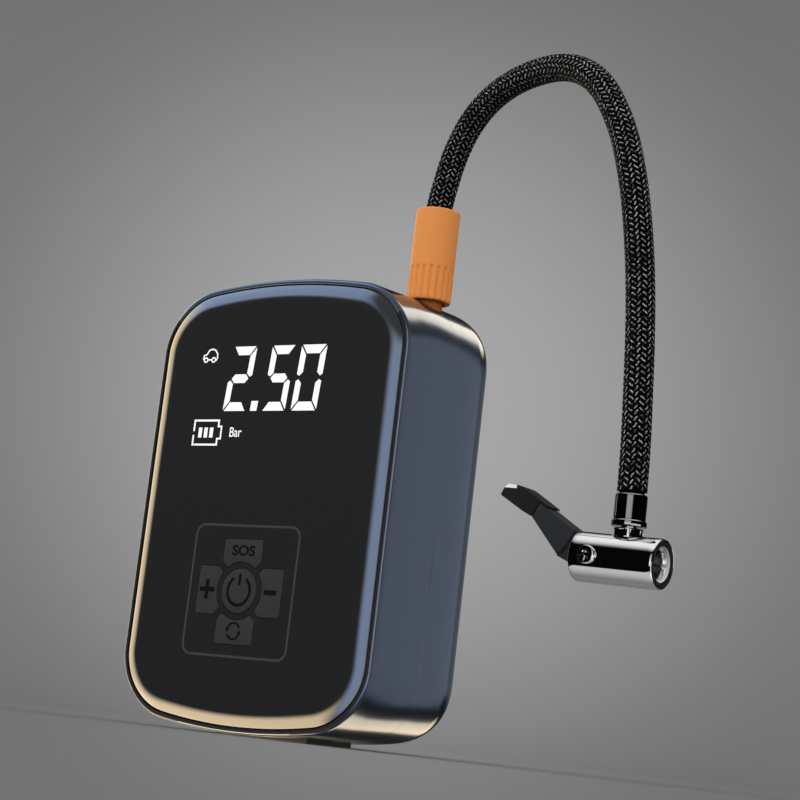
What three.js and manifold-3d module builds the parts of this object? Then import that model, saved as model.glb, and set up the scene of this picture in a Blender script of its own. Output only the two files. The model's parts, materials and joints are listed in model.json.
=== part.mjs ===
// Portable tyre inflator: a hand-held battery pump with a lever chuck on a short braided hose.
// Millimetres, +Z up. The origin is the centre of the underside of the foot pad, +X is to the
// right seen from the display side, and the display faces -Y.
import * as THREE from "three";
import { mergeVertices } from "three/addons/utils/BufferGeometryUtils.js";
import Module from "manifold-3d";

const wasm = await Module();
wasm.setup();

// ---------------------------------------------------------------- driving dimensions
const GAP = 0.3; // clearance between neighbouring pieces
const SEAM = GAP / 2; // each shell stops this far from y = 0

const CASE = { width: 96.9, height: 140, depth: 49, wall: 2.2 };
const MID_Z = CASE.height / 2;
const CORNER = { radius: 19.1, minRadius: 4, power: 2.12, steps: 6 }; // superelliptic
const CROWN = { rise: 5.6, steps: 3 }; // crown of the top and bottom edges
const BACK_EDGE = { depth: 11.3, inset: 8.6, steps: 3 }; // rounding of the back edge
const FOOT = { halfX: 18, halfY: 11, proud: 0.3, top: 1.5 }; // stands proud of the case
const LENS = { inset: 2, face: -25.6, thickness: 2 }; // face is the y of its flat front

const CELL = { count: 3, radius: 9.1, length: 65, pitch: 19, x: -32, y: 8, z: 12.3 };

const PUMP_Y = 3; // shared by the motor, gear, cylinder and delivery valve
const MOTOR = { x: -22.5, bottom: 97.3, top: 130, radius: 13.5 };
const GEAR_X = -2.5;
const GEAR_Z = [88, 93];
const STROKE = 11;
const ROD_Z = 84; // plane of the connecting rod and of the cylinder axis
const PISTON_X = 19.6;
const CYLINDER = { bore: 8, x: [17.8, 34.7] }; // bore is a radius
const VALVE_X = 39.8;

const OUTLET_X = 36; // outlet and hose coupling axis
const COUPLING = { bottom: 136.8, top: 165.8, radius: 6.85 };
const COUPLING_SEAT = { z: 136.5, radius: 7.3 }; // shallow round seat in the top of the case
const HOSE = { radius: 4.1, bore: 2.1, bendGap: 2.2 };
const HOSE_HEADING = THREE.MathUtils.degToRad(-15.5); // the hanging hose's plane
const BENDS_AT = [14, 58, 102, 146, 188]; // along the hose from the coupling's top

const CHUCK = { z: 56.9, yaw: 2.4, tilt: 2.8 }; // body axis under the stem, angles in degrees
const CHUCK_BODY = { radius: 6.85, back: -13.8, mouth: 10.9 };
const LEVER_PIVOT_X = -8;

// Axes of upright parts as [x, y], of parts along X as [y, z], of parts along Y as [x, z].
const ORIGIN = [0, 0];
const MOTOR_AXIS = [MOTOR.x, PUMP_Y];
const GEAR_AXIS = [GEAR_X, PUMP_Y];
const CRANK_PIN_AXIS = [GEAR_X - STROKE / 2, PUMP_Y];
const CYLINDER_AXIS = [PUMP_Y, ROD_Z];
const VALVE_AXIS = [VALVE_X, PUMP_Y];
const OUTLET_AXIS = [OUTLET_X, 0];
const TORCH_AXIS = [-14, 10];
const USB_AXIS = [6, 84];
const LEVER_AXIS = [LEVER_PIVOT_X, 0];
const SCREWS = [[-24, 6.4], [29, 7.1], [-43.1, 122], [14, 134.4]];

// ---------------------------------------------------------------- materials
const finish = (look) => new THREE.MeshStandardMaterial(look);
const FINISH = {
  shell: finish({ color: 0x4a5564, roughness: 0.32, metalness: 0.45 }),
  lens: finish({ color: 0x1b1c1e, roughness: 0.08 }),
  key: finish({ color: 0x3a3a3a, roughness: 0.55 }),
  black: finish({ color: 0x18181a, roughness: 0.6 }),
  nylon: finish({ color: 0xd9d6cc, roughness: 0.5 }),
  display: finish({ color: 0x101214, roughness: 0.3 }),
  pcb: finish({ color: 0x1d4a33, roughness: 0.5 }),
  cell: finish({ color: 0x2f6fa8, roughness: 0.4 }),
  steel: finish({ color: 0xb8babd, roughness: 0.35, metalness: 1 }),
  brass: finish({ color: 0xb59a4c, roughness: 0.35, metalness: 1 }),
  alloy: finish({ color: 0xa9adb0, roughness: 0.4, metalness: 1 }),
  rubber: finish({ color: 0x1e1e1f, roughness: 0.8 }),
  orange: finish({ color: 0xe8873f, roughness: 0.5 }),
  hose: finish({ color: 0x1c1c1e, roughness: 0.6 }),
  chrome: finish({ color: 0xd9dbde, roughness: 0.08, metalness: 1 }),
  clear: finish({ color: 0xe8ecef, roughness: 0.05 }),
  silicone: finish({ color: 0xcfd2cf, roughness: 0.5 }),
};

// ---------------------------------------------------------------- solids
// A Manifold from a closed geometry, turned outside out if its volume is negative.
function toSolid(geometry) {
  const bare = geometry.clone();
  for (const name of Object.keys(bare.attributes)) {
    if (name !== "position") bare.deleteAttribute(name);
  }
  const merged = mergeVertices(bare, 1e-4);
  const { position } = merged.attributes;
  const triangles = [];
  let volume = 0;
  const vertex = (i) => new THREE.Vector3().fromBufferAttribute(position, i);
  for (let i = 0; i < merged.index.count; i += 3) {
    const [a, b, c] = [0, 1, 2].map((k) => merged.index.getX(i + k));
    if (a === b || b === c || a === c) continue;
    triangles.push([a, b, c]);
    volume += vertex(a).dot(vertex(b).cross(vertex(c)));
  }
  if (volume < 0) for (const triangle of triangles) triangle.reverse();
  return new wasm.Manifold(new wasm.Mesh({
    numProp: 3,
    vertProperties: new Float32Array(position.array),
    triVerts: new Uint32Array(triangles.flat()),
  }));
}

function toGeometry(solid) {
  const mesh = solid.getMesh();
  const geometry = new THREE.BufferGeometry();
  const position = new Float32Array(mesh.vertProperties);
  geometry.setAttribute("position", new THREE.BufferAttribute(position, 3));
  geometry.setIndex(new THREE.BufferAttribute(new Uint32Array(mesh.triVerts), 1));
  geometry.computeVertexNormals();
  return geometry;
}

const join = (...solids) => solids.reduce((a, b) => a.add(b));
const cut = (solid, ...tools) => tools.reduce((a, b) => a.subtract(b), solid);
const about = (middle, half) => [middle - half, middle + half]; // a range
const point = (x, y, z) => new THREE.Vector3(x, y, z);

function signedArea(outline) {
  const doubled = outline.reduce((sum, [x0, z0], i) => {
    const [x1, z1] = outline[(i + 1) % outline.length];
    return sum + x0 * z1 - x1 * z0;
  }, 0);
  return doubled / 2;
}

// A body through stations [y, outline], each outline a list of [x, z], closed by flat caps.
function loft(stations) {
  const count = stations[0][1].length;
  const last = stations.length - 1;
  const way = Math.sign(signedArea(stations[0][1]));
  const positions = stations.flatMap(([y, outline]) => outline.flatMap(([x, z]) => [x, y, z]));
  const index = [];
  for (let k = 0; k < last; k++) {
    for (let i = 0; i < count; i++) {
      const a = k * count + i;
      const b = k * count + ((i + 1) % count);
      index.push(a, b, b + count, a, b + count, a + count);
    }
  }
  for (const [k, sign] of [[0, -way], [last, way]]) {
    const outline = stations[k][1];
    const flat = outline.map(([x, z]) => new THREE.Vector2(x, z));
    for (const face of THREE.ShapeUtils.triangulateShape(flat, [])) {
      const facing = Math.sign(signedArea(face.map((i) => outline[i])));
      const [a, b, c] = face.map((i) => k * count + i);
      if (facing === sign) index.push(a, b, c);
      else index.push(a, c, b);
    }
  }
  const geometry = new THREE.BufferGeometry();
  geometry.setAttribute("position", new THREE.BufferAttribute(new Float32Array(positions), 3));
  geometry.setIndex(index);
  return toSolid(geometry);
}

const prism = (outline, [y0, y1]) => loft([[y0, outline], [y1, outline]]);

const box = ([x0, x1], [y0, y1], [z0, z1]) =>
  toSolid(new THREE.BoxGeometry(x1 - x0, y1 - y0, z1 - z0)
    .translate((x0 + x1) / 2, (y0 + y1) / 2, (z0 + z1) / 2));

// A cylinder along an axis, centred on the other two coordinates.
function rod(axis, radius, [from, to], [u, v], segments = 16) {
  const geometry = new THREE.CylinderGeometry(radius, radius, to - from, segments);
  const middle = (from + to) / 2;
  if (axis === "x") geometry.rotateZ(-Math.PI / 2).translate(middle, u, v);
  if (axis === "y") geometry.translate(u, middle, v);
  if (axis === "z") geometry.rotateX(Math.PI / 2).translate(u, v, middle);
  return toSolid(geometry);
}

// A turned body about Z. The profile is [radius, z] and closes on itself, or starts and ends
// on the axis.
function turned(profile, segments = 16) {
  const points = profile.map(([radius, z]) => new THREE.Vector2(radius, z));
  if (profile[0][0] > 0) points.push(points[0].clone());
  return toSolid(new THREE.LatheGeometry(points, segments).rotateX(Math.PI / 2));
}
const alongX = (solid) => toSolid(toGeometry(solid).rotateY(Math.PI / 2)); // Z axis to X axis
const movedTo = ([x, y], solid) => toSolid(toGeometry(solid).translate(x, y, 0));

// A pipe swept through points.
function tube({ points, outer, inner, steps, curveSegments }) {
  const section = new THREE.Shape().absarc(0, 0, outer, 0, 2 * Math.PI);
  section.holes.push(new THREE.Path().absarc(0, 0, inner, 0, 2 * Math.PI));
  const extrudePath = new THREE.CatmullRomCurve3(points);
  return toSolid(new THREE.ExtrudeGeometry(section,
    { steps, curveSegments, bevelEnabled: false, extrudePath }));
}

// An outline moved outwards by a distance, with its corners kept sharp.
function grow(outline, distance) {
  const count = outline.length;
  const side = Math.sign(signedArea(outline));
  return outline.map(([x, z], i) => {
    const [beforeX, beforeZ] = outline[(i + count - 1) % count];
    const [afterX, afterZ] = outline[(i + 1) % count];
    const normalIn = new THREE.Vector2(z - beforeZ, beforeX - x).normalize();
    const normalOut = new THREE.Vector2(afterZ - z, x - afterX).normalize();
    const mitre = normalIn.clone().add(normalOut).normalize();
    const shift = (side * distance) / mitre.dot(normalIn);
    return [x + mitre.x * shift, z + mitre.y * shift];
  });
}

// Outline of the case, inset: a rounded rectangle with crowned ends.
function caseOutline(inset) {
  const halfX = CASE.width / 2 - inset;
  const halfZ = CASE.height / 2 - inset;
  const radius = Math.max(CORNER.radius - inset, CORNER.minRadius);
  const crown = CROWN.rise / halfZ;
  const points = [];
  const put = (x, z) => points.push([x, z * (1 - crown * (x / halfX) ** 2) + MID_Z]);
  const corner = (signX, signZ, from, to) => {
    for (let i = 0; i <= CORNER.steps; i++) {
      const angle = from + ((to - from) * i) / CORNER.steps;
      const across = Math.abs(Math.cos(angle)) ** (2 / CORNER.power);
      const upward = Math.abs(Math.sin(angle)) ** (2 / CORNER.power);
      put(signX * (halfX - radius + radius * across), signZ * (halfZ - radius + radius * upward));
    }
  };
  const edge = (sign) => {
    for (let i = 1; i < CROWN.steps; i++) {
      put(sign * (halfX - radius) * (1 - (2 * i) / CROWN.steps), sign * halfZ);
    }
  };
  const quarter = Math.PI / 2;
  corner(1, 1, 0, quarter);
  edge(1);
  corner(-1, 1, quarter, 0);
  corner(-1, -1, 0, quarter);
  edge(-1);
  corner(1, -1, quarter, 0);
  return points;
}
// A body of the case's outline through stations [inset, y].
const caseLoft = (stations) => loft(stations.map(([inset, y]) => [y, caseOutline(inset)]));
const caseBlock = (inset, [y0, y1]) => caseLoft([[inset, y0], [inset, y1]]);

// ---------------------------------------------------------------- the tree
const root = new THREE.Group();
const unit = new THREE.Group(); // everything stands on the foot pad
unit.position.z = FOOT.proud;
root.add(unit);

function piece(name, solid, material, parent = unit) {
  const mesh = new THREE.Mesh(toGeometry(solid), material);
  mesh.name = name;
  parent.add(mesh);
}

// ---------------------------------------------------------------- case shells
const outletHole = rod("z", 4.9, [120, 142], OUTLET_AXIS, 20)
  .add(rod("z", COUPLING_SEAT.radius, [COUPLING_SEAT.z, 142], OUTLET_AXIS, 20));
const footPocket = box(about(0, FOOT.halfX + GAP), about(0, FOOT.halfY + GAP),
  [-2, FOOT.top + GAP]);
const footFloor = (rangeY) => box(about(0, 20), rangeY, [1.2, 4.2]);
const screwRods = (radius, rangeY) => SCREWS.map((axis) => rod("y", radius, rangeY, axis, 10));

function frontShell() {
  const inside = caseBlock(1, [-23, 0]); // trims the floor and bosses
  const hollow = cut(
    caseLoft([[0, -SEAM], [0, -22.6], [0.35, -23.9], [0.9, -24.5]]),
    caseBlock(LENS.inset - GAP, [-26, -21]), // lens recess
    caseBlock(5, [-22, -18]), // opening behind the lens
    caseBlock(CASE.wall, [-19, 1]));
  const bosses = screwRods(3, [-19.6, -SEAM]);
  const filled = join(hollow, ...[footFloor([-13, -SEAM]), ...bosses]
    .map((solid) => solid.intersect(inside)));
  return cut(filled, ...screwRods(1.6, [-12, 1]), outletHole, footPocket);
}

// The rear shell's outer form, inset; its back edge rounds over a quarter turn.
function backBody(inset, startY) {
  const stations = [[inset, startY]];
  for (let i = 0; i <= BACK_EDGE.steps; i++) {
    const angle = ((Math.PI / 2) * i) / BACK_EDGE.steps;
    stations.push([
      inset + BACK_EDGE.inset * (1 - Math.cos(angle)),
      CASE.depth / 2 - inset - BACK_EDGE.depth * (1 - Math.sin(angle)),
    ]);
  }
  return caseLoft(stations);
}

function rearShell() {
  const INTAKE = { count: 5, x: 4, width: 1.6, pitch: 4.2 };
  const inside = backBody(0.8, 0);
  const filled = join(
    cut(backBody(0, SEAM), backBody(CASE.wall, -1)),
    footFloor([SEAM, 13]).intersect(caseBlock(1, [0, 14])),
    ...screwRods(3.6, [SEAM, 23]).map((boss) => boss.intersect(inside)));
  const airSlots = Array.from({ length: INTAKE.count }, (_, i) => {
    const x = INTAKE.x + INTAKE.pitch * i;
    return box([x, x + INTAKE.width], [20, 27], [96, 110]);
  });
  return cut(filled,
    ...screwRods(1.8, [-1, 20]),
    ...screwRods(2.9, [16.5, 27]), // screw head wells
    ...airSlots, outletHole, footPocket,
    rod("z", 4.6, [130, 142], TORCH_AXIS, 20),
    box([-50, -44], about(USB_AXIS[0], 2), about(USB_AXIS[1], 4.8)));
}

function caseScrew([x, z]) {
  const SLOT = { halfLength: 1.4, halfWidth: 0.3, y: [17.6, 19] };
  return cut(
    rod("y", 2.4, [16.8, 18.4], [x, z], 10).add(rod("y", 1.3, [-9, 17], [x, z], 10)),
    box(about(x, SLOT.halfLength), SLOT.y, about(z, SLOT.halfWidth)),
    box(about(x, SLOT.halfWidth), SLOT.y, about(z, SLOT.halfLength)));
}

piece("front_shell", frontShell(), FINISH.shell);
piece("rear_shell", rearShell(), FINISH.shell);
piece("foot_pad", box(about(0, FOOT.halfX), about(0, FOOT.halfY), [-FOOT.proud, FOOT.top]),
  FINISH.rubber);
SCREWS.forEach((axis, i) => piece(`case_screw_${i + 1}`, caseScrew(axis), FINISH.steel));

// ---------------------------------------------------------------- display lens and keys
// Four keys around the round power key: [x, z] outlines and post centres, z from mid-height.
const KEYS = {
  sos_key: {
    post: [-3.5, -16.2],
    outline: [[-11, -12], [-11, -18.9], [-8.9, -20.7], [2.2, -20.7], [4, -18.9], [4, -12]],
  },
  plus_key: {
    post: [-15.6, -27.8],
    outline: [[-19.8, -20.5], [-19.8, -35.2], [-12.6, -35.2], [-10.6, -33.3], [-10.6, -22.2],
      [-12.4, -20.5]],
  },
  minus_key: {
    post: [8.9, -27.8],
    outline: [[13.4, -20.6], [5.2, -20.6], [3.8, -22.1], [3.8, -33.6], [5.5, -35.2],
      [13.4, -35.2]],
  },
  mode_key: {
    post: [-3.3, -40.6],
    outline: [[-10.7, -36.7], [-9.4, -34.9], [2, -34.9], [4.1, -36.5], [4.1, -43.9],
      [-10.7, -43.9]],
  },
};
const POWER_KEY = { centre: [-3.3, -27.7], radius: 6.8 };
const KEY_CLEAR_RADIUS = 8.9; // the other keys stay outside this circle
const THROUGH_LENS = [-29, -19];

const raised = ([x, z]) => [x, z + MID_Z];
const powerDisc = (radius, rangeY) => rod("y", radius, rangeY, raised(POWER_KEY.centre), 28);
const keyPost = (centre) => rod("y", 1.5, [-23.5, -19.8], raised(centre), 12);

function lens() {
  const blank = caseLoft([
    [0, -21.3], [0, -23.9], [0.5, -24.5], [2, -25.05], [4.5, -25.4], [7.5, LENS.face],
  ].map(([inset, y]) => [LENS.inset + inset, y]));
  const collar = powerDisc(KEY_CLEAR_RADIUS - GAP, THROUGH_LENS);
  const keyHoles = Object.values(KEYS).map(({ outline }) =>
    prism(grow(outline, GAP).map(raised), [-28, -20]).subtract(collar));
  return cut(blank, caseBlock(6, [LENS.face + LENS.thickness, -20]), ...keyHoles,
    powerDisc(POWER_KEY.radius + GAP, THROUGH_LENS));
}

piece("lens", lens(), FINISH.lens);
for (const [name, { outline, post }] of Object.entries(KEYS)) {
  const cap = prism(outline.map(raised), [-25.75, -22.6])
    .subtract(powerDisc(KEY_CLEAR_RADIUS, THROUGH_LENS));
  piece(name, cap.add(keyPost(post)), FINISH.key);
}
piece("power_key",
  powerDisc(POWER_KEY.radius, [-25.8, -22.6]).add(keyPost(POWER_KEY.centre)), FINISH.key);

const switchCentres = [...Object.values(KEYS).map(({ post }) => post), POWER_KEY.centre];
switchCentres.map(raised).forEach(([x, z], i) => {
  const plunger = rod("y", 1.6, [-18.9, -18], [x, z], 12);
  piece(`key_switch_${i + 1}`,
    box(about(x, 3), [-18.2, -17.3], about(z, 3)).add(plunger), FINISH.black);
});
piece("display_module", box([-32, 22], [-23.2, -20.6], [84, 122]), FINISH.display);
piece("main_board", box([-34, 34], [-17, -15.4], [17, 124]), FINISH.pcb);
piece("pressure_sensor",
  box([22, 32], [-15.1, -9], [112, 121]).add(rod("y", 1.6, [-10, -6], [27, 116.5], 12)),
  FINISH.black);

// ---------------------------------------------------------------- battery
for (let i = 0; i < CELL.count; i++) {
  const axis = [CELL.x + CELL.pitch * i, CELL.y];
  const top = CELL.z + CELL.length;
  piece(`battery_cell_${i + 1}`, join(
    rod("z", CELL.radius, [CELL.z, top - 1], axis, 20),
    rod("z", 3, [top - 2, top], axis, 12)), FINISH.cell);
}

// A plate behind the cells, with a rib between each pair.
function batteryTray() {
  const ribs = Array.from({ length: CELL.count - 1 }, (_, i) =>
    box(about(CELL.x + CELL.pitch * (i + 0.5), 2.2), [15.6, 18], [20, 70]));
  return join(box([-40, 14], [17.5, 19], [15, 76]), ...ribs);
}
piece("battery_tray", batteryTray(), FINISH.black);

// ---------------------------------------------------------------- motor and gears
// Tip and root are radii; the tooth widths are measured along those circles.
const PINION = { teeth: 8, root: 2.9, tip: 4.8, rootWidth: 1.5, tipWidth: 0.6, phase: 0 };
const CRANK_GEAR = {
  teeth: 32, root: 14.8, tip: 16.8, rootWidth: 1.7, tipWidth: 0.7, phase: Math.PI / 32,
};

function gear({ teeth, root, tip, rootWidth, tipWidth, phase }, [x, y]) {
  const tooth = [[root, -rootWidth], [tip, -tipWidth], [tip, tipWidth], [root, rootWidth]];
  const points = [];
  for (let i = 0; i < teeth; i++) {
    const middle = phase + (2 * Math.PI * i) / teeth;
    for (const [radius, width] of tooth) {
      const angle = middle + width / 2 / radius;
      points.push(new THREE.Vector2(radius * Math.cos(angle), radius * Math.sin(angle)));
    }
  }
  const [z0, z1] = GEAR_Z;
  return toSolid(new THREE.ExtrudeGeometry(new THREE.Shape(points),
    { depth: z1 - z0, bevelEnabled: false }).translate(x, y, z0));
}

function crankGear() {
  const lightening = [60, 120, 240, 300].map((degrees) => {
    const angle = THREE.MathUtils.degToRad(degrees);
    const centre = [GEAR_X + 10 * Math.cos(angle), PUMP_Y + 10 * Math.sin(angle)];
    return rod("z", 2.1, [80, 100], centre, 12);
  });
  return cut(gear(CRANK_GEAR, GEAR_AXIS),
    rod("z", 2.8, [80, 100], GEAR_AXIS, 20),
    rod("z", 1.8, [80, 100], CRANK_PIN_AXIS, 12),
    ...lightening);
}

piece("motor_can", cut(
  rod("z", MOTOR.radius, [MOTOR.bottom, MOTOR.top - 3.3], MOTOR_AXIS, 20),
  rod("z", MOTOR.radius - 1.5, [MOTOR.bottom + 1.5, MOTOR.top], MOTOR_AXIS, 20),
  rod("z", 3, [90, 100], MOTOR_AXIS)), FINISH.steel);
piece("motor_end_bell", cut(
  rod("z", MOTOR.radius, [MOTOR.top - 3, MOTOR.top], MOTOR_AXIS, 20),
  rod("z", 2, [120, 129], MOTOR_AXIS)), FINISH.black);
piece("motor_rotor", join(
  rod("z", 9.5, [103, 121], MOTOR_AXIS, 20),
  rod("z", 1.5, [GEAR_Z[0], 128], MOTOR_AXIS), // shaft
  rod("z", 4.5, [120.5, 125], MOTOR_AXIS)), FINISH.steel);
piece("motor_pinion",
  gear(PINION, MOTOR_AXIS).subtract(rod("z", 1.8, [80, 100], MOTOR_AXIS)), FINISH.brass);
piece("crank_gear", crankGear(), FINISH.nylon);
piece("crank_axle", join(
  rod("z", 2.5, [87.3, 96.6], GEAR_AXIS, 20),
  rod("z", 2.9, [86.5, 87.7], GEAR_AXIS, 20)), FINISH.steel);
piece("crank_pin", join(
  rod("z", 1.5, [87.5, GEAR_Z[1]], CRANK_PIN_AXIS, 12),
  rod("z", 2.1, [86.4, 87.7], CRANK_PIN_AXIS, 12)), FINISH.steel);

// ---------------------------------------------------------------- pump
// A plate under the motor and an upright wall at the cylinder's crank end.
piece("pump_frame", cut(
  join(
    box([-38, 17.5], about(PUMP_Y, 14), [94.3, 97]),
    box([15.5, 17.5], about(PUMP_Y, 11), [73.5, 97])),
  rod("z", 6.5, [90, 100], MOTOR_AXIS, 20),
  rod("z", 2.8, [90, 100], GEAR_AXIS, 20),
  rod("x", CYLINDER.bore + 0.5, [10, 20], CYLINDER_AXIS),
  ...about(PUMP_Y, 9).map((y) => rod("z", 1.8, [90, 100], [MOTOR.x, y], 12))), FINISH.alloy);

// Connecting rod and piston in one; its big end stops just under the crank pin.
piece("piston_rod", cut(
  join(
    rod("z", 4.6, about(ROD_Z, 2), CRANK_PIN_AXIS, 20),
    box([CRANK_PIN_AXIS[0], PISTON_X + 0.5], about(PUMP_Y, 2.2), about(ROD_Z, 1.6)),
    rod("x", CYLINDER.bore - 0.4, [PISTON_X, PISTON_X + 1.5], CYLINDER_AXIS),
    rod("x", 5.6, [PISTON_X + 1, PISTON_X + 3.9], CYLINDER_AXIS)),
  rod("z", 2.6, [80, 90], CRANK_PIN_AXIS)), FINISH.alloy);
piece("piston_seal", cut(
  rod("x", CYLINDER.bore - 0.3, [PISTON_X + 1.8, PISTON_X + 3.6], CYLINDER_AXIS),
  rod("x", 5.9, [PISTON_X, PISTON_X + 5], CYLINDER_AXIS)), FINISH.rubber);
piece("cylinder", cut(
  join(
    rod("x", CYLINDER.bore + 1.8, CYLINDER.x, CYLINDER_AXIS),
    ...[21, 25.5, 30].map((x) => rod("x", CYLINDER.bore + 3, [x, x + 1.2], CYLINDER_AXIS))),
  rod("x", CYLINDER.bore, [10, 40], CYLINDER_AXIS)), FINISH.alloy);
piece("cylinder_head", cut(
  box([35, 44.6], about(PUMP_Y, 9.5), about(ROD_Z, 10)),
  rod("z", 3.7, [87, 96], VALVE_AXIS),
  rod("z", 1.4, [83, 90], VALVE_AXIS, 12),
  rod("x", 1.4, [33, VALVE_X], CYLINDER_AXIS, 12)), FINISH.alloy);
piece("delivery_valve", rod("z", 3.2, [87.3, 88.3], VALVE_AXIS), FINISH.rubber);

const SPRING = { radius: 2.5, wire: 0.3, turns: 4, pitch: 1, z: 89 };
class Coil extends THREE.Curve {
  getPoint(t, target = new THREE.Vector3()) {
    const angle = 2 * Math.PI * SPRING.turns * t;
    return target.set(
      VALVE_X + SPRING.radius * Math.cos(angle),
      PUMP_Y + SPRING.radius * Math.sin(angle),
      SPRING.z + SPRING.pitch * SPRING.turns * t);
  }
}
function valveSpring() {
  const wire = new THREE.Shape([0, 1, 2, 3].map((i) => {
    const angle = (i * Math.PI) / 2;
    return new THREE.Vector2(SPRING.wire * Math.cos(angle), SPRING.wire * Math.sin(angle));
  }));
  return toSolid(new THREE.ExtrudeGeometry(wire,
    { steps: 32, bevelEnabled: false, extrudePath: new Coil() }));
}
piece("valve_spring", valveSpring(), FINISH.steel);
piece("head_nipple", movedTo(VALVE_AXIS, turned([
  [1.4, 94.3], [5.4, 94.3], [5.4, 96], [2.9, 96.4], [2.9, 104], [2.5, 105], [1.4, 105],
])), FINISH.brass);
// From the head nipple up to the outlet nipple.
piece("air_tube", tube({
  points: [
    point(VALVE_X, PUMP_Y, 97), point(VALVE_X, PUMP_Y, 101), point(VALVE_X, PUMP_Y, 106),
    point(38.6, 2, 111), point(37.2, 1, 115),
    point(OUTLET_X, 0, 119), point(OUTLET_X, 0, 122), point(OUTLET_X, 0, 125.2),
  ],
  outer: 4.3, inner: 3.2, steps: 9, curveSegments: 5,
}), FINISH.silicone);

// ---------------------------------------------------------------- outlet, charging port, torch
piece("outlet_nipple", movedTo(OUTLET_AXIS, turned([
  [1.6, 117], [2.5, 117], [2.9, 118], [2.9, 125.5], [5.4, 126], [5.4, 128],
  [4.5, 128.4], [4.5, 149.6], [4.1, 150], [1.6, 150],
])), FINISH.brass);
const usbBlock = (rangeX, halfY, halfZ) =>
  box(rangeX, about(USB_AXIS[0], halfY), about(USB_AXIS[1], halfZ));
piece("usb_port", join(
  cut(usbBlock([-47.6, -40.4], 1.6, 4.4), usbBlock([-48, -41.2], 1.1, 3.8)),
  usbBlock([-46.6, -40.8], 0.3, 3.1)), FINISH.steel);
piece("torch_lens", movedTo(TORCH_AXIS, turned([
  [0, 134.6], [3.6, 134.6], [4.3, 136], [4.3, 139], [3.8, 139.6], [0, 139.9],
], 20)), FINISH.clear);
piece("torch_led", join(
  rod("z", 4.4, [132, 133], TORCH_AXIS),
  box(about(TORCH_AXIS[0], 1.6), about(TORCH_AXIS[1], 1.6), [132.5, 134])), FINISH.nylon);

// ---------------------------------------------------------------- hose with its coupling
const hoseAssembly = new THREE.Group(); // turns about the outlet's axis
unit.add(hoseAssembly);
piece("hose_coupling", movedTo(OUTLET_AXIS, turned([
  [4.9, COUPLING.bottom], [6.4, COUPLING.bottom], [COUPLING.radius, COUPLING.bottom + 0.5],
  [COUPLING.radius, COUPLING.top - 0.6], [6.3, COUPLING.top], [4.75, COUPLING.top],
  [4.75, 152.7], [2, 152.7], [2, 152], [4.9, 152],
], 20)), FINISH.orange, hoseAssembly);

// Centre line of the hose in its own plane: [distance from the outlet axis, height].
const HOSE_LINE = [
  [0, 153], [0, 160], [0.1, 166], [0.8, 170], [2, 174.2], [3.9, 180.4], [6.8, 186.4],
  [11, 192.2], [17, 197.2], [24.1, 200.6], [32.1, 202.6], [40.9, 203.3], [49.6, 202.8],
  [57.6, 200.7], [65, 196.5], [70.8, 190.9], [75.7, 184.1], [79.9, 176.6], [83, 168.9],
  [86, 159.8], [88.3, 150.9], [90.7, 139.3], [92.5, 127.8], [94, 113.8], [95.1, 100],
  [95.7, 91.8], [96.1, 83.7], [96.3, 75],
];
const headingX = Math.cos(HOSE_HEADING);
const headingY = Math.sin(HOSE_HEADING);
const hoseLine = new THREE.CatmullRomCurve3(
  HOSE_LINE.map(([out, z]) => point(OUTLET_X + out * headingX, out * headingY, z)),
  false, "centripetal");
hoseLine.arcLengthDivisions = 2000;
const hoseLength = hoseLine.getLength();
const hoseEnd = hoseLine.getPoint(1);
const hoseEndAxis = [hoseEnd.x, hoseEnd.y];
const bends = BENDS_AT.map((distance) => COUPLING.top - HOSE_LINE[0][1] + distance);

function hoseSection(from, to) {
  const steps = Math.max(3, Math.round((to - from) / 9));
  const points = Array.from({ length: steps + 1 }, (_, k) =>
    hoseLine.getPointAt((from + ((to - from) * k) / steps) / hoseLength));
  return tube({ points, outer: HOSE.radius, inner: HOSE.bore, steps, curveSegments: 6 });
}
// The crimped end, drawn down inside the sleeve.
const crimped = (section) => cut(
  section.add(rod("z", 3.3, [68, hoseEnd.z + 0.5], hoseEndAxis)),
  rod("z", HOSE.bore, [60, hoseEnd.z + 1], hoseEndAxis));

for (let i = 0; i <= bends.length; i++) {
  const isLast = i === bends.length;
  const from = i === 0 ? 0 : bends[i - 1] + HOSE.bendGap / 2;
  const to = isLast ? hoseLength : bends[i] - HOSE.bendGap / 2;
  const section = hoseSection(from, to);
  piece(`hose_section_${i + 1}`, isLast ? crimped(section) : section, FINISH.hose, hoseAssembly);
}

// ---------------------------------------------------------------- chuck
const tail = new THREE.Group(); // crimp sleeve and stem, upright
tail.position.set(hoseEnd.x, hoseEnd.y, 0);
hoseAssembly.add(tail);
piece("crimp_sleeve", turned([
  [2.2, 65.6], [4.5, 65.6], [4.75, 65.9], [4.75, 67.1], [4.4, 67.3], [4.35, 68],
  [4.35, 73.6], [4.1, 74.3], [3.6, 74.3], [3.6, 67.6], [2.2, 67.6],
]), FINISH.chrome, tail);
piece("chuck_stem", turned([
  [1.1, 62.5], [4.1, 62.5], [4.1, 65.1], [1.8, 65.4], [1.8, 84], [1.5, 84.6], [1.1, 84.6],
], 18), FINISH.chrome, tail);

const head = new THREE.Group(); // the chuck's mouth faces +X
head.position.set(hoseEnd.x, hoseEnd.y, CHUCK.z);
head.rotation.set(
  0, THREE.MathUtils.degToRad(CHUCK.tilt), THREE.MathUtils.degToRad(CHUCK.yaw), "ZYX");
hoseAssembly.add(head);

const leverPinHole = rod("y", 1.8, about(0, 9), LEVER_AXIS, 14);

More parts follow.
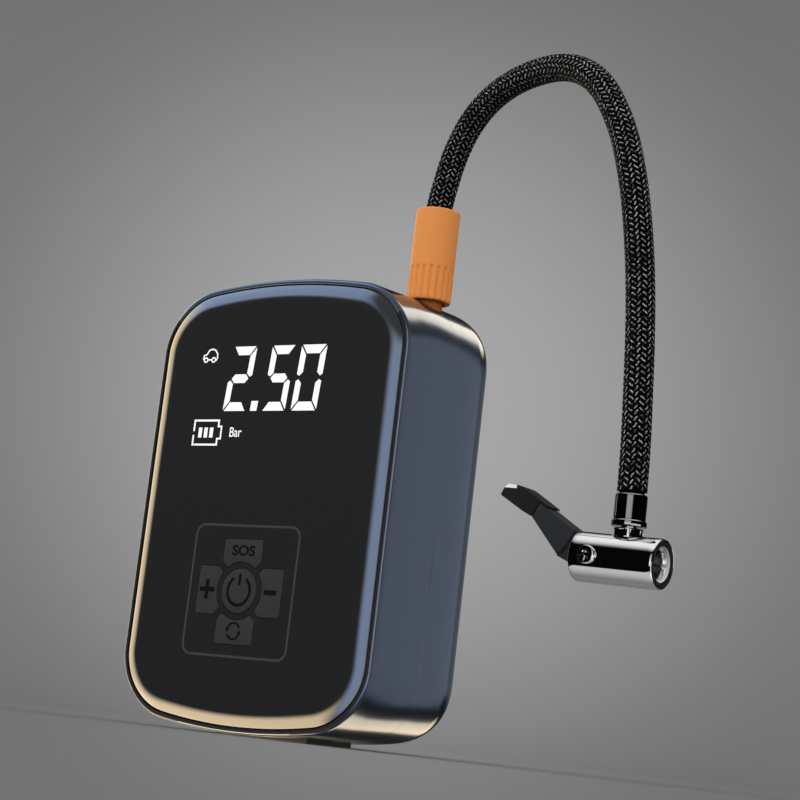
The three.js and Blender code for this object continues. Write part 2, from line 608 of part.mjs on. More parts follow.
function chuckBody() {
  const { radius, back, mouth } = CHUCK_BODY;
  const blank = alongX(turned([
    [0, back], [6.45, back], [radius, back + 0.5], [radius, mouth - 1.7],
    [6.82, mouth - 0.7], [6.6, mouth], [0, mouth],
  ], 20));
  return cut(blank,
    rod("x", 5.9, [-2.1, 12], ORIGIN),
    rod("x", 6.3, [9.6, 12], ORIGIN, 20),
    box([-20, -3], about(0, 2.5), [-6, 9]), // lever slot
    leverPinHole,
    rod("z", 1.3, [4, 9], ORIGIN, 12), // air passage
    rod("z", 4.6, [5.35, 9], ORIGIN, 18)); // stem seat
}

function chuckJaws() {
  const slits = [0, 60, 120].map((degrees) =>
    toSolid(new THREE.BoxGeometry(6, 14, 0.9).translate(6.4, 0, 0)
      .rotateX(THREE.MathUtils.degToRad(degrees))));
  return cut(rod("x", 5.5, [-1, 6.7], ORIGIN),
    rod("x", 4.1, [-3, 4.1], ORIGIN, 18),
    rod("x", 3.9, [3.5, 8], ORIGIN, 18),
    ...slits);
}

piece("chuck_body", chuckBody(), FINISH.chrome, head);
piece("chuck_jaws", chuckJaws(), FINISH.chrome, head);
piece("chuck_seal", cut(
  rod("x", 5.6, [8.1, 9.95], ORIGIN).add(rod("x", 6, [9.9, 10.7], ORIGIN, 20)),
  rod("x", 4.6, [7, 12], ORIGIN, 18)), FINISH.rubber, head);
piece("lever_pin", join(
  rod("y", 1.5, about(0, 7.5), LEVER_AXIS, 14),
  ...[-7.6, 7.6].map((y) => rod("y", 2.5, about(y, 0.45), LEVER_AXIS))), FINISH.chrome, head);

// Lever outlines [x, z] about its pivot: narrow root in the body's slot, wide arm, and the
// tongue that carries the thumb cap.
const LEVER = {
  root: [[-4, -2.4], [-8.3, -2], [-11.6, -0.7], [-14, 4], [-8.5, 7.4], [-5.5, 6], [0, 4.6]],
  arm: [[-10.9, -0.5], [-20.1, 8.85], [-18.25, 12.8], [-15.9, 11.5], [-6.6, 6.35], [-8.7, 2.6]],
  tongue: [[-17.6, 10.4], [-27, 15], [-26.6, 15.9], [-17.6, 12]],
  cap: [[-20.4, 9.05], [-23.5, 10.3], [-31, 14.2], [-29.6, 17.5], [-25.6, 17.2],
    [-24.2, 16.8], [-15.9, 12.3], [-15.9, 11.8], [-18.4, 13.15]],
};
const LEVER_HALF = { root: 2.1, arm: 3.6, tongue: 1.6 }; // half widths along Y
const leverPrism = (outline, half) =>
  prism(outline.map(([x, z]) => [x + LEVER_PIVOT_X, z]), about(0, half));

piece("chuck_lever", cut(
  join(
    leverPrism(LEVER.root, LEVER_HALF.root),
    rod("y", 4.7, about(0, LEVER_HALF.root), LEVER_AXIS, 20),
    leverPrism(LEVER.arm, LEVER_HALF.arm),
    leverPrism(LEVER.tongue, LEVER_HALF.tongue)),
  leverPinHole), FINISH.black, head);
piece("lever_cap", cut(
  leverPrism(LEVER.cap, LEVER_HALF.arm),
  leverPrism(grow(LEVER.tongue, GAP), LEVER_HALF.tongue + GAP)), FINISH.black, head);

// ---------------------------------------------------------------- joints
// Joint centres and axes in the root's frame, for whoever drives the model.
root.updateMatrixWorld(true);
const place = (centre, group = unit) => centre.applyMatrix4(group.matrixWorld).toArray();
const heading = (axis, group = unit) => axis.transformDirection(group.matrixWorld).toArray();
root.userData = {
  swivel: place(point(OUTLET_X, 0, COUPLING.top)),
  bends: bends.map((distance) => place(hoseLine.getPointAt(distance / hoseLength))),
  bendAxis: heading(point(headingY, -headingX, 0)), // positive straightens the hose
  twist: place(point(hoseEnd.x, hoseEnd.y, 65)),
  leverPivot: place(point(LEVER_PIVOT_X, 0, 0), head),
  leverAxis: heading(point(0, 1, 0), head),
  chuckAxis: heading(point(1, 0, 0), head),
  hoseLength,
};

export default root;
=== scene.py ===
# A handheld tyre inflator, upright on its foot: the case with a display window and keypad
# on its front, a braided hose that arches from the top over to the right, and a lever chuck
# hanging from its end. The front looks along -Y, +X is its right, and +Z is up.
# Sizes are in millimetres and become metres as each mesh is made.
import bpy, bmesh, json, math
import numpy as np
from mathutils import Matrix, Vector


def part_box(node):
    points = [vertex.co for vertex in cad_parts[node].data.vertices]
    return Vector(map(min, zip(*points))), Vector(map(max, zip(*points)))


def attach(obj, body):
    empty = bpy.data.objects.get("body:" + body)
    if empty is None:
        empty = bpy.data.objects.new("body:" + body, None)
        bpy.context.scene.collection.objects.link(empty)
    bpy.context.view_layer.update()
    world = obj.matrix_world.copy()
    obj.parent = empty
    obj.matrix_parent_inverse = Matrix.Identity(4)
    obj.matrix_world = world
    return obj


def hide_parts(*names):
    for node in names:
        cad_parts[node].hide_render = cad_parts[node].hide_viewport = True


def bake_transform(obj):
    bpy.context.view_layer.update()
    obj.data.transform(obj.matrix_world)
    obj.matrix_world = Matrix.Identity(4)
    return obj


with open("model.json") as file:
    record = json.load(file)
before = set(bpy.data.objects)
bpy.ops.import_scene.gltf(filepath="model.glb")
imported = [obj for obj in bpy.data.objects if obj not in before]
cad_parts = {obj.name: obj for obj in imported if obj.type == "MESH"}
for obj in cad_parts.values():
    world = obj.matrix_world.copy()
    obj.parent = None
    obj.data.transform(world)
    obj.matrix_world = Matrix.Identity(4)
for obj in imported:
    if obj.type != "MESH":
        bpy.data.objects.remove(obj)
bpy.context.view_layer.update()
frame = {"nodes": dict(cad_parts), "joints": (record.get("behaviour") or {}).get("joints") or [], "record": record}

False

MM = 0.001
COL = bpy.context.scene.collection

# ---------------------------------------------------------------- driving dimensions
CASE_LOW, CASE_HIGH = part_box("front_shell")
BASE_Z = CASE_LOW[2] / MM            # underside of the case above the rest plane
CASE_W = (CASE_HIGH[0] - CASE_LOW[0]) / MM
CASE_H = (CASE_HIGH[2] - CASE_LOW[2]) / MM
CASE_D = 49.0
CASE_MID_Z = BASE_Z + CASE_H / 2
MIDDLE = 70                          # origin of the front's own heights above the underside
CORNER_R, CORNER_POWER = 19.1, 2.12  # superelliptic corners of the outline
BOW = 5.6                            # fall of the top and bottom edges towards the sides
CORNER_STEPS, END_STEPS, SIDE_STEPS = 26, 24, 10
BACK_DEPTH, BACK_INSET, WALL = 11.3, 8.6, 2.2   # rounding of the back, wall thickness
SEAM = 0.035                         # half the gap between the two shells
FACE_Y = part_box("lens")[0][1] / MM   # flat face of the window
OUTLET = (36.0, 0.0)                 # x, y of the hose outlet
OUTLET_SEAT_Z, OUTLET_SEAT_R = 136.5, 7.3


# ---------------------------------------------------------------- node arithmetic
class Value:
    """A socket in a node tree that can be added and multiplied."""
    def __init__(self, tree, socket):
        self.tree, self.socket = tree, socket

    def __add__(self, other):
        return calc("ADD", self, other)

    def __mul__(self, other):
        return calc("MULTIPLY", self, other)


def calc(kind, *args):
    tree = next(arg.tree for arg in args if isinstance(arg, Value))
    node = tree.nodes.new("ShaderNodeMath")
    node.operation = kind
    for i, arg in enumerate(args):
        if isinstance(arg, Value):
            tree.links.new(arg.socket, node.inputs[i])
        else:
            node.inputs[i].default_value = arg
    return Value(tree, node.outputs[0])


def ramp(x, start, end, before=0.0, after=1.0, kind="SMOOTHSTEP"):
    """Goes from before to after as x goes from start to end."""
    node = x.tree.nodes.new("ShaderNodeMapRange")
    node.interpolation_type = kind
    if start > end:
        start, end, before, after = end, start, after, before
    for name, value in (("From Min", start), ("From Max", end),
                        ("To Min", before), ("To Max", after)):
        node.inputs[name].default_value = value
    x.tree.links.new(x.socket, node.inputs["Value"])
    return Value(x.tree, node.outputs["Result"])


def band(x, low, high, fade, fade_high=None):
    """One between low and high, fading over fade at low and fade_high at high."""
    fade_high = fade if fade_high is None else fade_high
    return (ramp(x, low - fade / 2, low + fade / 2)
            * ramp(x, high + fade_high / 2, high - fade_high / 2))


def grey(x):
    node = x.tree.nodes.new("ShaderNodeCombineColor")
    for channel in ("Red", "Green", "Blue"):
        x.tree.links.new(x.socket, node.inputs[channel])
    return Value(x.tree, node.outputs["Color"])


def blend_colour(base, colour, mask):
    tree = mask.tree
    node = tree.nodes.new("ShaderNodeMix")
    node.data_type = "RGBA"
    for socket, value in ((node.inputs[0], mask), (node.inputs[6], base),
                          (node.inputs[7], colour)):
        if isinstance(value, Value):
            tree.links.new(value.socket, socket)
        else:
            socket.default_value = (*value, 1.0)
    return Value(tree, node.outputs[2])


def axes_of(tree, socket):
    """The x, y and z of a vector socket."""
    node = tree.nodes.new("ShaderNodeSeparateXYZ")
    tree.links.new(socket, node.inputs[0])
    return [Value(tree, output) for output in node.outputs]


# ---------------------------------------------------------------- materials
MATS = {}
SOCKETS = {"color": "Base Color", "rough": "Roughness", "metal": "Metallic", "ior": "IOR",
           "spec": "Specular IOR Level", "coat": "Coat Weight", "coat_rough": "Coat Roughness",
           "coat_ior": "Coat IOR", "clear": "Transmission Weight", "glow": "Emission Color",
           "glow_strength": "Emission Strength"}


def noise_value(tree, scale, detail):
    coords = tree.nodes.new("ShaderNodeTexCoord")
    noise = tree.nodes.new("ShaderNodeTexNoise")
    noise.inputs["Scale"].default_value = scale
    noise.inputs["Detail"].default_value = detail
    tree.links.new(coords.outputs["Object"], noise.inputs["Vector"])
    return Value(tree, noise.outputs["Fac"])


def add_bump(tree, bsdf, scale, strength, distance, detail=3.0):
    """Fine noise relief. distance is in metres."""
    height = noise_value(tree, scale, detail)
    node = tree.nodes.new("ShaderNodeBump")
    node.inputs["Strength"].default_value = strength
    node.inputs["Distance"].default_value = distance
    tree.links.new(height.socket, node.inputs["Height"])
    tree.links.new(node.outputs["Normal"], bsdf.inputs["Normal"])
    return height


def add_mottle(tree, bsdf, scale, low, high):
    """Roughness that wanders between low and high."""
    rough = ramp(noise_value(tree, scale, detail=3.0), 0.3, 0.7, low, high, kind="LINEAR")
    tree.links.new(rough.socket, bsdf.inputs["Roughness"])


def make_material(name, bump=None, mottle=None, **surface):
    material = bpy.data.materials.new(name)
    material.use_nodes = True
    tree = material.node_tree
    bsdf = tree.nodes["Principled BSDF"]
    for key, value in surface.items():
        if key in ("color", "glow"):
            value = (*value, 1.0)
        bsdf.inputs[SOCKETS[key]].default_value = value
    if bump:
        add_bump(tree, bsdf, **bump)
    if mottle:
        add_mottle(tree, bsdf, **mottle)
    MATS[name] = material
    return tree, bsdf


def make_window_material():
    tree, bsdf = make_material(
        "lens_black", color=(0.0200, 0.0206, 0.0217), rough=0.09, ior=1.6, coat=1.0,
        coat_rough=0.05, coat_ior=1.6, mottle=dict(scale=60, low=0.08, high=0.11))
    # only the rolled edge is polished; the flat of the window is plain and dark
    geometry = tree.nodes.new("ShaderNodeNewGeometry")
    facing = axes_of(tree, geometry.outputs["Normal"])[1]
    for socket, flat, edge in (("Coat Weight", 0.03, 1.0), ("Specular IOR Level", 0.02, 0.5)):
        polish = ramp(facing, -0.9990, -0.9890, before=flat, after=edge)
        tree.links.new(polish.socket, bsdf.inputs[socket])


def make_painted_glint_material():
    tree, bsdf = make_material("yarn_painted_glint", color=(0.3, 0.3, 0.3), rough=0.6, spec=0.0)
    noise = add_bump(tree, bsdf, scale=900, strength=0.1, detail=1.0, distance=0.00002)
    # the same noise varies the painted highlight from dark to pale
    tone = grey(ramp(noise, 0.36, 0.66, before=0.03, after=0.40, kind="LINEAR"))
    tree.links.new(tone.socket, bsdf.inputs["Base Color"])


make_material("shell_blue", color=(0.105, 0.140, 0.198), metal=0.90, rough=0.19,
              coat=0.55, coat_rough=0.06,
              bump=dict(scale=9000, strength=0.03, detail=2.0, distance=0.00001))
# near-black: painted shade on the front lip and in the groove inside it
make_material("shell_rim_painted_shade", color=(0.006, 0.0065, 0.008), rough=0.5, spec=0.15,
              bump=dict(scale=6000, strength=0.03, detail=2.0, distance=0.00001))
make_window_material()
make_material("key_grey", color=(0.041, 0.0415, 0.042), rough=0.6, spec=0.02,
              bump=dict(scale=5000, strength=0.15, distance=0.00003))
make_material("key_glyph", color=(0.0055, 0.0055, 0.006), rough=0.6, spec=0.02,
              bump=dict(scale=5000, strength=0.1, detail=2.0, distance=0.00002))
make_material("frame_line", color=(0.056, 0.0565, 0.057), rough=0.6, spec=0.03,
              bump=dict(scale=4000, strength=0.1, detail=2.0, distance=0.00002))
make_material("segment_glow", color=(0.02, 0.02, 0.02), rough=0.5, spec=0.1,
              glow=(1, 1, 1), glow_strength=1.0)
make_material("grip_orange", color=(0.88, 0.320, 0.080), rough=0.52, spec=0.15,
              bump=dict(scale=2600, strength=0.10, detail=4.0, distance=0.00004))
make_material("yarn_black", color=(0.0022, 0.0022, 0.0025), rough=0.5, spec=0.015,
              bump=dict(scale=7000, strength=0.25, detail=2.0, distance=0.00004))
# pale flecks painted on the crowns of the strands stand in for their highlights
make_painted_glint_material()
make_material("hose_core", color=(0.003, 0.003, 0.003), rough=0.7, spec=0.2,
              bump=dict(scale=3000, strength=0.2, detail=2.0, distance=0.00004))
make_material("chrome_bright", color=(0.86, 0.865, 0.875), metal=1.0, rough=0.0,
              bump=dict(scale=60, strength=0.02, detail=2.0, distance=0.000004))
# a dimmed copy of the bright chrome: painted shade on the crimp sleeve
make_material("chrome_dimmed", color=(0.48, 0.48, 0.49), metal=1.0, rough=0.0,
              bump=dict(scale=60, strength=0.02, detail=2.0, distance=0.000004))
make_material("lever_black", color=(0.021, 0.024, 0.027), rough=0.6, spec=0.05,
              bump=dict(scale=3500, strength=0.18, distance=0.00004))
make_material("lever_cap_black", color=(0.0115, 0.012, 0.012), rough=0.6, spec=0.05,
              bump=dict(scale=3500, strength=0.18, distance=0.00004))
# pale matt white, painted highlights: the glint on the lever cap's bevel and the bright wall of the seal's bore
make_material("painted_highlight_pale", color=(0.72, 0.72, 0.72), rough=0.45, spec=0.3,
              bump=dict(scale=3500, strength=0.05, detail=2.0, distance=0.00002))
make_material("jaw_steel", color=(0.85, 0.85, 0.86), metal=1.0, rough=0.2,
              bump=dict(scale=900, strength=0.1, detail=2.0, distance=0.00002))
make_material("rubber_black", color=(0.008, 0.008, 0.008), rough=0.65,
              bump=dict(scale=3000, strength=0.25, distance=0.00005))
make_material("seal_gloss", color=(0.003, 0.003, 0.003), rough=0.45, spec=0.1,
              bump=dict(scale=3000, strength=0.15, distance=0.00003))
make_material("steel_turned", color=(0.55, 0.55, 0.56), metal=1.0, rough=0.3,
              mottle=dict(scale=900, low=0.22, high=0.38))
make_material("brass_turned", color=(0.62, 0.44, 0.18), metal=1.0, rough=0.28,
              mottle=dict(scale=800, low=0.2, high=0.36))
make_material("alloy_cast", color=(0.58, 0.59, 0.6), metal=1.0, rough=0.48,
              bump=dict(scale=1800, strength=0.3, detail=4.0, distance=0.00008))
make_material("nylon_white", color=(0.72, 0.71, 0.66), rough=0.5,
              bump=dict(scale=1500, strength=0.1, distance=0.00004))
make_material("board_green", color=(0.012, 0.075, 0.035), rough=0.35,
              bump=dict(scale=900, strength=0.15, detail=2.0, distance=0.00003))
make_material("cell_blue", color=(0.02, 0.12, 0.30), rough=0.32, coat=0.3,
              bump=dict(scale=300, strength=0.08, detail=2.0, distance=0.00005))
make_material("plastic_black", color=(0.012, 0.012, 0.013), rough=0.55,
              bump=dict(scale=2500, strength=0.15, distance=0.00004))
make_material("silicone_tube", color=(0.62, 0.63, 0.61), rough=0.45,
              bump=dict(scale=900, strength=0.1, detail=2.0, distance=0.00004))
make_material("torch_clear", color=(0.86, 0.89, 0.92), rough=0.06, ior=1.49, clear=0.6,
              coat=0.3, mottle=dict(scale=300, low=0.04, high=0.1))
# darker copy of the orange grip: painted shade standing in for the shaded underside of the coupling
make_material("outlet_shaded_orange", color=(0.42, 0.125, 0.035), rough=0.6, spec=0.05,
              bump=dict(scale=2500, strength=0.1, distance=0.00004))

# every CAD piece takes the material of its slot, and the outlet nipple one of its own: a darker copy of the orange
# grip, painted shade
SLOT_MATERIALS = {
    "case_shell": "shell_blue", "display_lens": "lens_black", "key": "key_grey",
    "black_plastic": "plastic_black", "circuit_board": "board_green", "cell_wrap": "cell_blue",
    "white_nylon": "nylon_white", "steel": "steel_turned", "brass": "brass_turned",
    "cast_alloy": "alloy_cast", "black_rubber": "rubber_black", "silicone": "silicone_tube",
    "torch_glass": "torch_clear", "orange_grip": "grip_orange", "braided_hose": "yarn_black",
    "chuck_chrome": "chrome_bright", "lever_black": "lever_black"}
for subpart in frame["record"]["subparts"]:
    node = frame["nodes"][subpart["node"]]
    material = MATS[SLOT_MATERIALS[subpart["material_slot"]]]
    if not node.material_slots:
        node.data.materials.append(material)
    for slot in node.material_slots:
        slot.material = material
for slot in frame["nodes"]["outlet_nipple"].material_slots:
    slot.material = MATS["outlet_shaded_orange"]


# ---------------------------------------------------------------- mesh helpers
def shade(mesh, sharp=None):
    """Smooth shading, with edges over sharp degrees left sharp."""
    mesh.polygons.foreach_set("use_smooth", [True] * len(mesh.polygons))
    if sharp is not None:
        mesh.set_sharp_from_angle(angle=math.radians(sharp))


def weld(mesh):
    """Merges doubled vertices and turns the faces outwards."""
    work = bmesh.new()
    work.from_mesh(mesh)
    bmesh.ops.remove_doubles(work, verts=work.verts, dist=1e-7)
    bmesh.ops.recalc_face_normals(work, faces=work.faces)
    work.to_mesh(mesh)
    work.free()


def link_object(name, mesh, material):
    obj = bpy.data.objects.new(name, mesh)
    mesh.materials.append(material)
    COL.objects.link(obj)
    return obj


def mesh_object(name, solid, material, sharp=32.0):
    """An object from a solid, which is a pair of vertices and faces."""
    vertices, faces = solid
    mesh = bpy.data.meshes.new(name)
    mesh.from_pydata([tuple(float(c) * MM for c in vertex) for vertex in vertices], [],
                     [tuple(int(i) for i in face) for face in faces])
    mesh.validate()
    weld(mesh)
    shade(mesh, sharp)
    return link_object(name, mesh, MATS[material])


def array_mesh(name, vertices, quads, material):
    """A big all-quad mesh from numpy arrays."""
    mesh = bpy.data.meshes.new(name)
    vertices = np.asarray(vertices, np.float32) * MM
    quads = np.asarray(quads, np.int32)
    mesh.vertices.add(len(vertices))
    mesh.vertices.foreach_set("co", vertices.ravel())
    mesh.loops.add(quads.size)
    mesh.loops.foreach_set("vertex_index", quads.ravel())
    mesh.polygons.add(len(quads))
    mesh.polygons.foreach_set("loop_start", np.arange(0, quads.size, 4, dtype=np.int32))
    mesh.update(calc_edges=True)
    mesh.validate()
    shade(mesh)
    return link_object(name, mesh, MATS[material])


def bake_modifiers(obj):
    bpy.context.view_layer.update()
    depsgraph = bpy.context.evaluated_depsgraph_get()
    mesh = bpy.data.meshes.new_from_object(obj.evaluated_get(depsgraph))
    old = obj.data
    obj.modifiers.clear()
    obj.data = mesh
    bpy.data.meshes.remove(old)


def cut_with(obj, cutters, operation="DIFFERENCE", sharp=32.0):
    """Cuts or joins the cutters with obj and removes them. sharp=None leaves the shading."""
    for tool in cutters:
        modifier = obj.modifiers.new("cut", "BOOLEAN")
        modifier.operation = operation
        modifier.solver = "EXACT"
        modifier.object = tool
    bake_modifiers(obj)
    for tool in cutters:
        mesh = tool.data
        bpy.data.objects.remove(tool)
        bpy.data.meshes.remove(mesh)
    if sharp is not None:
        shade(obj.data, sharp)


def bevel(obj, width, segments, angle, sharp):
    modifier = obj.modifiers.new("bevel", "BEVEL")
    modifier.width = width * MM
    modifier.segments = segments
    modifier.limit_method = "ANGLE"
    modifier.angle_limit = math.radians(angle)
    modifier.harden_normals = False
    bake_modifiers(obj)
    shade(obj.data, sharp)


def second_material(obj, name):
    """Leaves the first material of obj and adds another behind it."""
    while len(obj.data.materials) > 1:
        obj.data.materials.pop()
    obj.data.materials.append(MATS[name])


def finish(obj, body, slot, *replaced):
    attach(obj, body)
    if replaced:
        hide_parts(*replaced)


def box(x0, x1, y0, y1, z0, z1):
    vertices = [(x, y, z) for x in (x0, x1) for y in (y0, y1) for z in (z0, z1)]
    return vertices, [(0, 1, 3, 2), (4, 6, 7, 5), (0, 4, 5, 1),
                      (2, 3, 7, 6), (0, 2, 6, 4), (1, 5, 7, 3)]


def prism(axis, outline, start, end):
    """A closed outline in the other two axes, drawn out along axis."""
    place = {"x": lambda h, p, q: (h, p, q), "y": lambda h, p, q: (p, h, q),
             "z": lambda h, p, q: (p, q, h)}[axis]
    count = len(outline)
    vertices = [place(h, p, q) for h in (start, end) for p, q in outline]
    faces = [(i, (i + 1) % count, count + (i + 1) % count, count + i) for i in range(count)]
    faces += [tuple(range(count))[::-1], tuple(range(count, 2 * count))]
    return vertices, faces


def cylinder(axis, radius, start, end, centre, sides):
    angles = [2 * math.pi * i / sides for i in range(sides)]
    circle = [(centre[0] + radius * math.cos(angle), centre[1] + radius * math.sin(angle))
              for angle in angles]
    return prism(axis, circle, start, end)


def cutter(solid):
    return mesh_object("cutter", solid, "plastic_black")


def turn(p, q, degrees):
    cos, sin = math.cos(math.radians(degrees)), math.sin(math.radians(degrees))
    return p * cos - q * sin, p * sin + q * cos


def lathe(name, profile, material, sides=96, axis="z", centre=(0, 0), sharp=32.0, shape=None):
    """Turned body. The profile is (radius, height); it closes on itself unless it starts on
    the axis. shape(radius, height, angle) may change the radius."""
    vertices, faces, rows = [], [], []
    for radius, height in profile:
        if radius <= 1e-9:
            rows.append([len(vertices)])
            vertices.append((0, 0, height))
            continue
        row = []
        for i in range(sides):
            angle = 2 * math.pi * i / sides
            local = radius if shape is None else shape(radius, height, angle)
            row.append(len(vertices))
            vertices.append((local * math.cos(angle), local * math.sin(angle), height))
        rows.append(row)
    pairs = list(zip(rows, rows[1:]))
    if profile[0][0] > 1e-9:
        pairs.append((rows[-1], rows[0]))
    for row, above in pairs:
        for i in range(sides):
            j = (i + 1) % sides
            if len(row) == 1:
                faces.append((row[0], above[i], above[j]))
            elif len(above) == 1:
                faces.append((row[i], row[j], above[0]))
            else:
                faces.append((row[i], row[j], above[j], above[i]))
    if axis == "x":
        vertices = [(z, x, y) for x, y, z in vertices]
    else:
        vertices = [(x + centre[0], y + centre[1], z) for x, y, z in vertices]
    return mesh_object(name, (vertices, faces), material, sharp)


def rect(x0, x1, z0, z1):
    return [(x0, z0), (x1, z0), (x1, z1), (x0, z1)]


def fillet(points, radii, steps=6):
    """Rounds the corners of a closed polygon, by one radius or one for each corner."""
    rounded = []
    for i, point in enumerate(points):
        radius = radii[i] if hasattr(radii, "__len__") else radii
        corner = np.array(point, float)
        back = np.array(points[i - 1], float) - corner
        ahead = np.array(points[(i + 1) % len(points)], float) - corner
        back_length, ahead_length = np.linalg.norm(back), np.linalg.norm(ahead)
        back, ahead = back / back_length, ahead / ahead_length
        angle = math.acos(max(-1, min(1, float(back @ ahead))))
        if radius <= 1e-6 or angle > math.pi - 1e-3:
            rounded.append(tuple(corner))
            continue
        reach = min(radius / math.tan(angle / 2), back_length * 0.49, ahead_length * 0.49)
        radius = reach * math.tan(angle / 2)
        middle = back + ahead
        centre = corner + middle / np.linalg.norm(middle) * (radius / math.sin(angle / 2))
        first, last = corner + back * reach - centre, corner + ahead * reach - centre
        start, end = math.atan2(first[1], first[0]), math.atan2(last[1], last[0])
        sweep = (end - start + math.pi) % (2 * math.pi) - math.pi
        for k in range(steps + 1):
            at = start + sweep * k / steps
            rounded.append((centre[0] + radius * math.cos(at),
                            centre[1] + radius * math.sin(at)))
    return rounded


# ---------------------------------------------------------------- outline of the case
def case_outline(inset, power):
    """The case seen from the front, as (x, z) points."""
    half_w, half_h = CASE_W / 2 - inset, CASE_H / 2 - inset
    radius = max(CORNER_R - inset, 4.0)
    bow = BOW / half_h
    points = []

    def put(x, z):
        points.append((x, z * (1 - bow * (x / half_w) ** 2) + CASE_MID_Z))

    def corner(side, rise, start, end):
        for i in range(CORNER_STEPS + 1):
            angle = start + (end - start) * i / CORNER_STEPS
            across = abs(math.cos(angle)) ** (2 / power)
            upward = abs(math.sin(angle)) ** (2 / power)
            put(side * (half_w - radius + radius * across),
                rise * (half_h - radius + radius * upward))

    quarter = math.pi / 2
    corner(1, 1, 0, quarter)
    for i in range(1, END_STEPS):
        put((half_w - radius) * (1 - 2 * i / END_STEPS), half_h)
    corner(-1, 1, quarter, 0)
    for i in range(1, SIDE_STEPS):
        put(-half_w, (half_h - radius) * (1 - 2 * i / SIDE_STEPS))
    corner(-1, -1, 0, quarter)
    for i in range(1, END_STEPS):
        put(-(half_w - radius) * (1 - 2 * i / END_STEPS), -half_h)
    corner(1, -1, quarter, 0)
    for i in range(1, SIDE_STEPS):
        put(half_w, -(half_h - radius) * (1 - 2 * i / SIDE_STEPS))
    return points


def sweep_case(profile, closed=False):
    """Sweeps (inset, y) points round the case: a closed loop, or capped at both ends."""
    vertices, faces = [], []
    for inset, y in profile:
        # the corners are a little squarer in the body than at the lip
        k = min(1.0, max(0.0, (y + 23.5) / 17.0))
        ring = case_outline(inset, CORNER_POWER + 0.62 * k * k * (3 - 2 * k))
        vertices += [(x, y, z) for x, z in ring]
    count, rings = len(ring), len(profile)
    for j in range(rings if closed else rings - 1):
        here, there = j * count, ((j + 1) % rings) * count
        faces += [(here + i, here + (i + 1) % count, there + (i + 1) % count, there + i)
                  for i in range(count)]
    if not closed:
        faces.append(tuple(range(count))[::-1])
        faces.append(tuple(range((rings - 1) * count, rings * count)))
    return vertices, faces


# ---------------------------------------------------------------- case shells
def shared_cuts():
    """Hose outlet, the seat round it and the foot recess, cut in both shells."""
    return [cutter(cylinder("z", 5.0, 115, 145, OUTLET, 64)),
            cutter(cylinder("z", OUTLET_SEAT_R, OUTLET_SEAT_Z + BASE_Z, 150, OUTLET, 96)),
            cutter(box(-18.25, 18.25, -11.25, 11.25, -3, BASE_Z + 1.8))]


LIP_Y = -24.5                        # foremost edge of the case
LIP_INSET, LIP_DEPTH = 0.85, 1.5     # rounding of the lip


def build_front_shell():
    # outer wall, rounded lip, recess for the window, ledge, inner wall
    profile = [(0.0, -SEAM - 0.05), (0.0, -8.0), (0.0, -16.0), (0.0, -20.5)]
    profile += [(LIP_INSET - LIP_INSET * math.cos(t), LIP_Y + LIP_DEPTH - LIP_DEPTH * math.sin(t))
                for t in np.radians([0, 12, 24, 36, 48, 60, 72, 82, 90])]
    profile += [(1.42, LIP_Y), (1.58, -24.44), (1.66, -24.3), (1.7, -24.0), (1.7, -21.0),
                (5.0, -21.0), (5.0, -19.0), (WALL, -19.0), (WALL, -SEAM), (0.04, -SEAM)]
    shell = mesh_object("case_front", sweep_case(profile, closed=True), "shell_blue")
    cut_with(shell, shared_cuts())
    second_material(shell, "shell_rim_painted_shade")
    for face in shell.data.polygons:
        centre, normal = face.center, face.normal
        inward = normal.x * centre.x + normal.z * (centre.z - CASE_MID_Z * MM) < 0
        # painted shade: the groove inside the lip and the lip below the top corners are painted near-black
        groove = centre.y < -0.0211 and abs(normal.y) < 0.9 and inward
        side_lip = centre.y < -0.0240 and normal.y < -0.80 and centre.z < 0.128
        face.material_index = 1 if groove or side_lip else 0
    finish(shell, "case", "case_shell", "front_shell")


TORCH_AT = (-14, 10)                                     # x, y
SCREWS = [(-24, 6.4), (29, 7.1), (-43.1, 122), (14, 134.4)]   # x, height over the underside
SLOT_COUNT, SLOT_PITCH, FIRST_SLOT_X = 5, 4.2, 4.8


def rounded_back(inset, depth, steps):
    return [(inset + BACK_INSET * (1 - math.cos(t)), depth - BACK_DEPTH * (1 - math.sin(t)))
            for t in np.linspace(0, math.pi / 2, steps)]


def build_rear_shell():
    profile = rounded_back(WALL, CASE_D / 2 - WALL, 8)[::-1]
    profile += [(WALL, SEAM), (0.04, SEAM), (0.0, SEAM + 0.05), (0.0, 6.0)]
    profile += rounded_back(0.0, CASE_D / 2, 14)
    shell = mesh_object("case_rear", sweep_case(profile), "shell_blue")
    cuts = shared_cuts()
    cuts.append(cutter(cylinder("z", 4.55, 128, 145, TORCH_AT, 64)))
    # USB port in the left wall
    port = fillet(rect(4.15, 7.85, 79.35 + BASE_Z, 88.65 + BASE_Z), 1.8, 8)
    cuts.append(cutter(prism("x", port, -52, -44.5)))
    for x, z in SCREWS:
        cuts.append(cutter(cylinder("y", 2.9, 16.5, 30, (x, z + BASE_Z), 40)))
    # row of upright slots in the back
    for i in range(SLOT_COUNT):
        x = FIRST_SLOT_X + SLOT_PITCH * i
        outline = fillet(rect(x - 0.8, x + 0.8, 96 + BASE_Z, 110 + BASE_Z), 0.79)
        cuts.append(cutter(prism("y", outline, 20, 27)))
    cut_with(shell, cuts)
    finish(shell, "case", "case_shell", "rear_shell")


build_front_shell()
build_rear_shell()

# ---------------------------------------------------------------- window
ROLL_INSET, ROLL_WIDTH, ROLL_DEPTH = 1.95, 5.7, 1.2      # rolled edge of the window
KEYPAD_AT = (-3.3, BASE_Z + MIDDLE - 27.7)               # centre of the power key
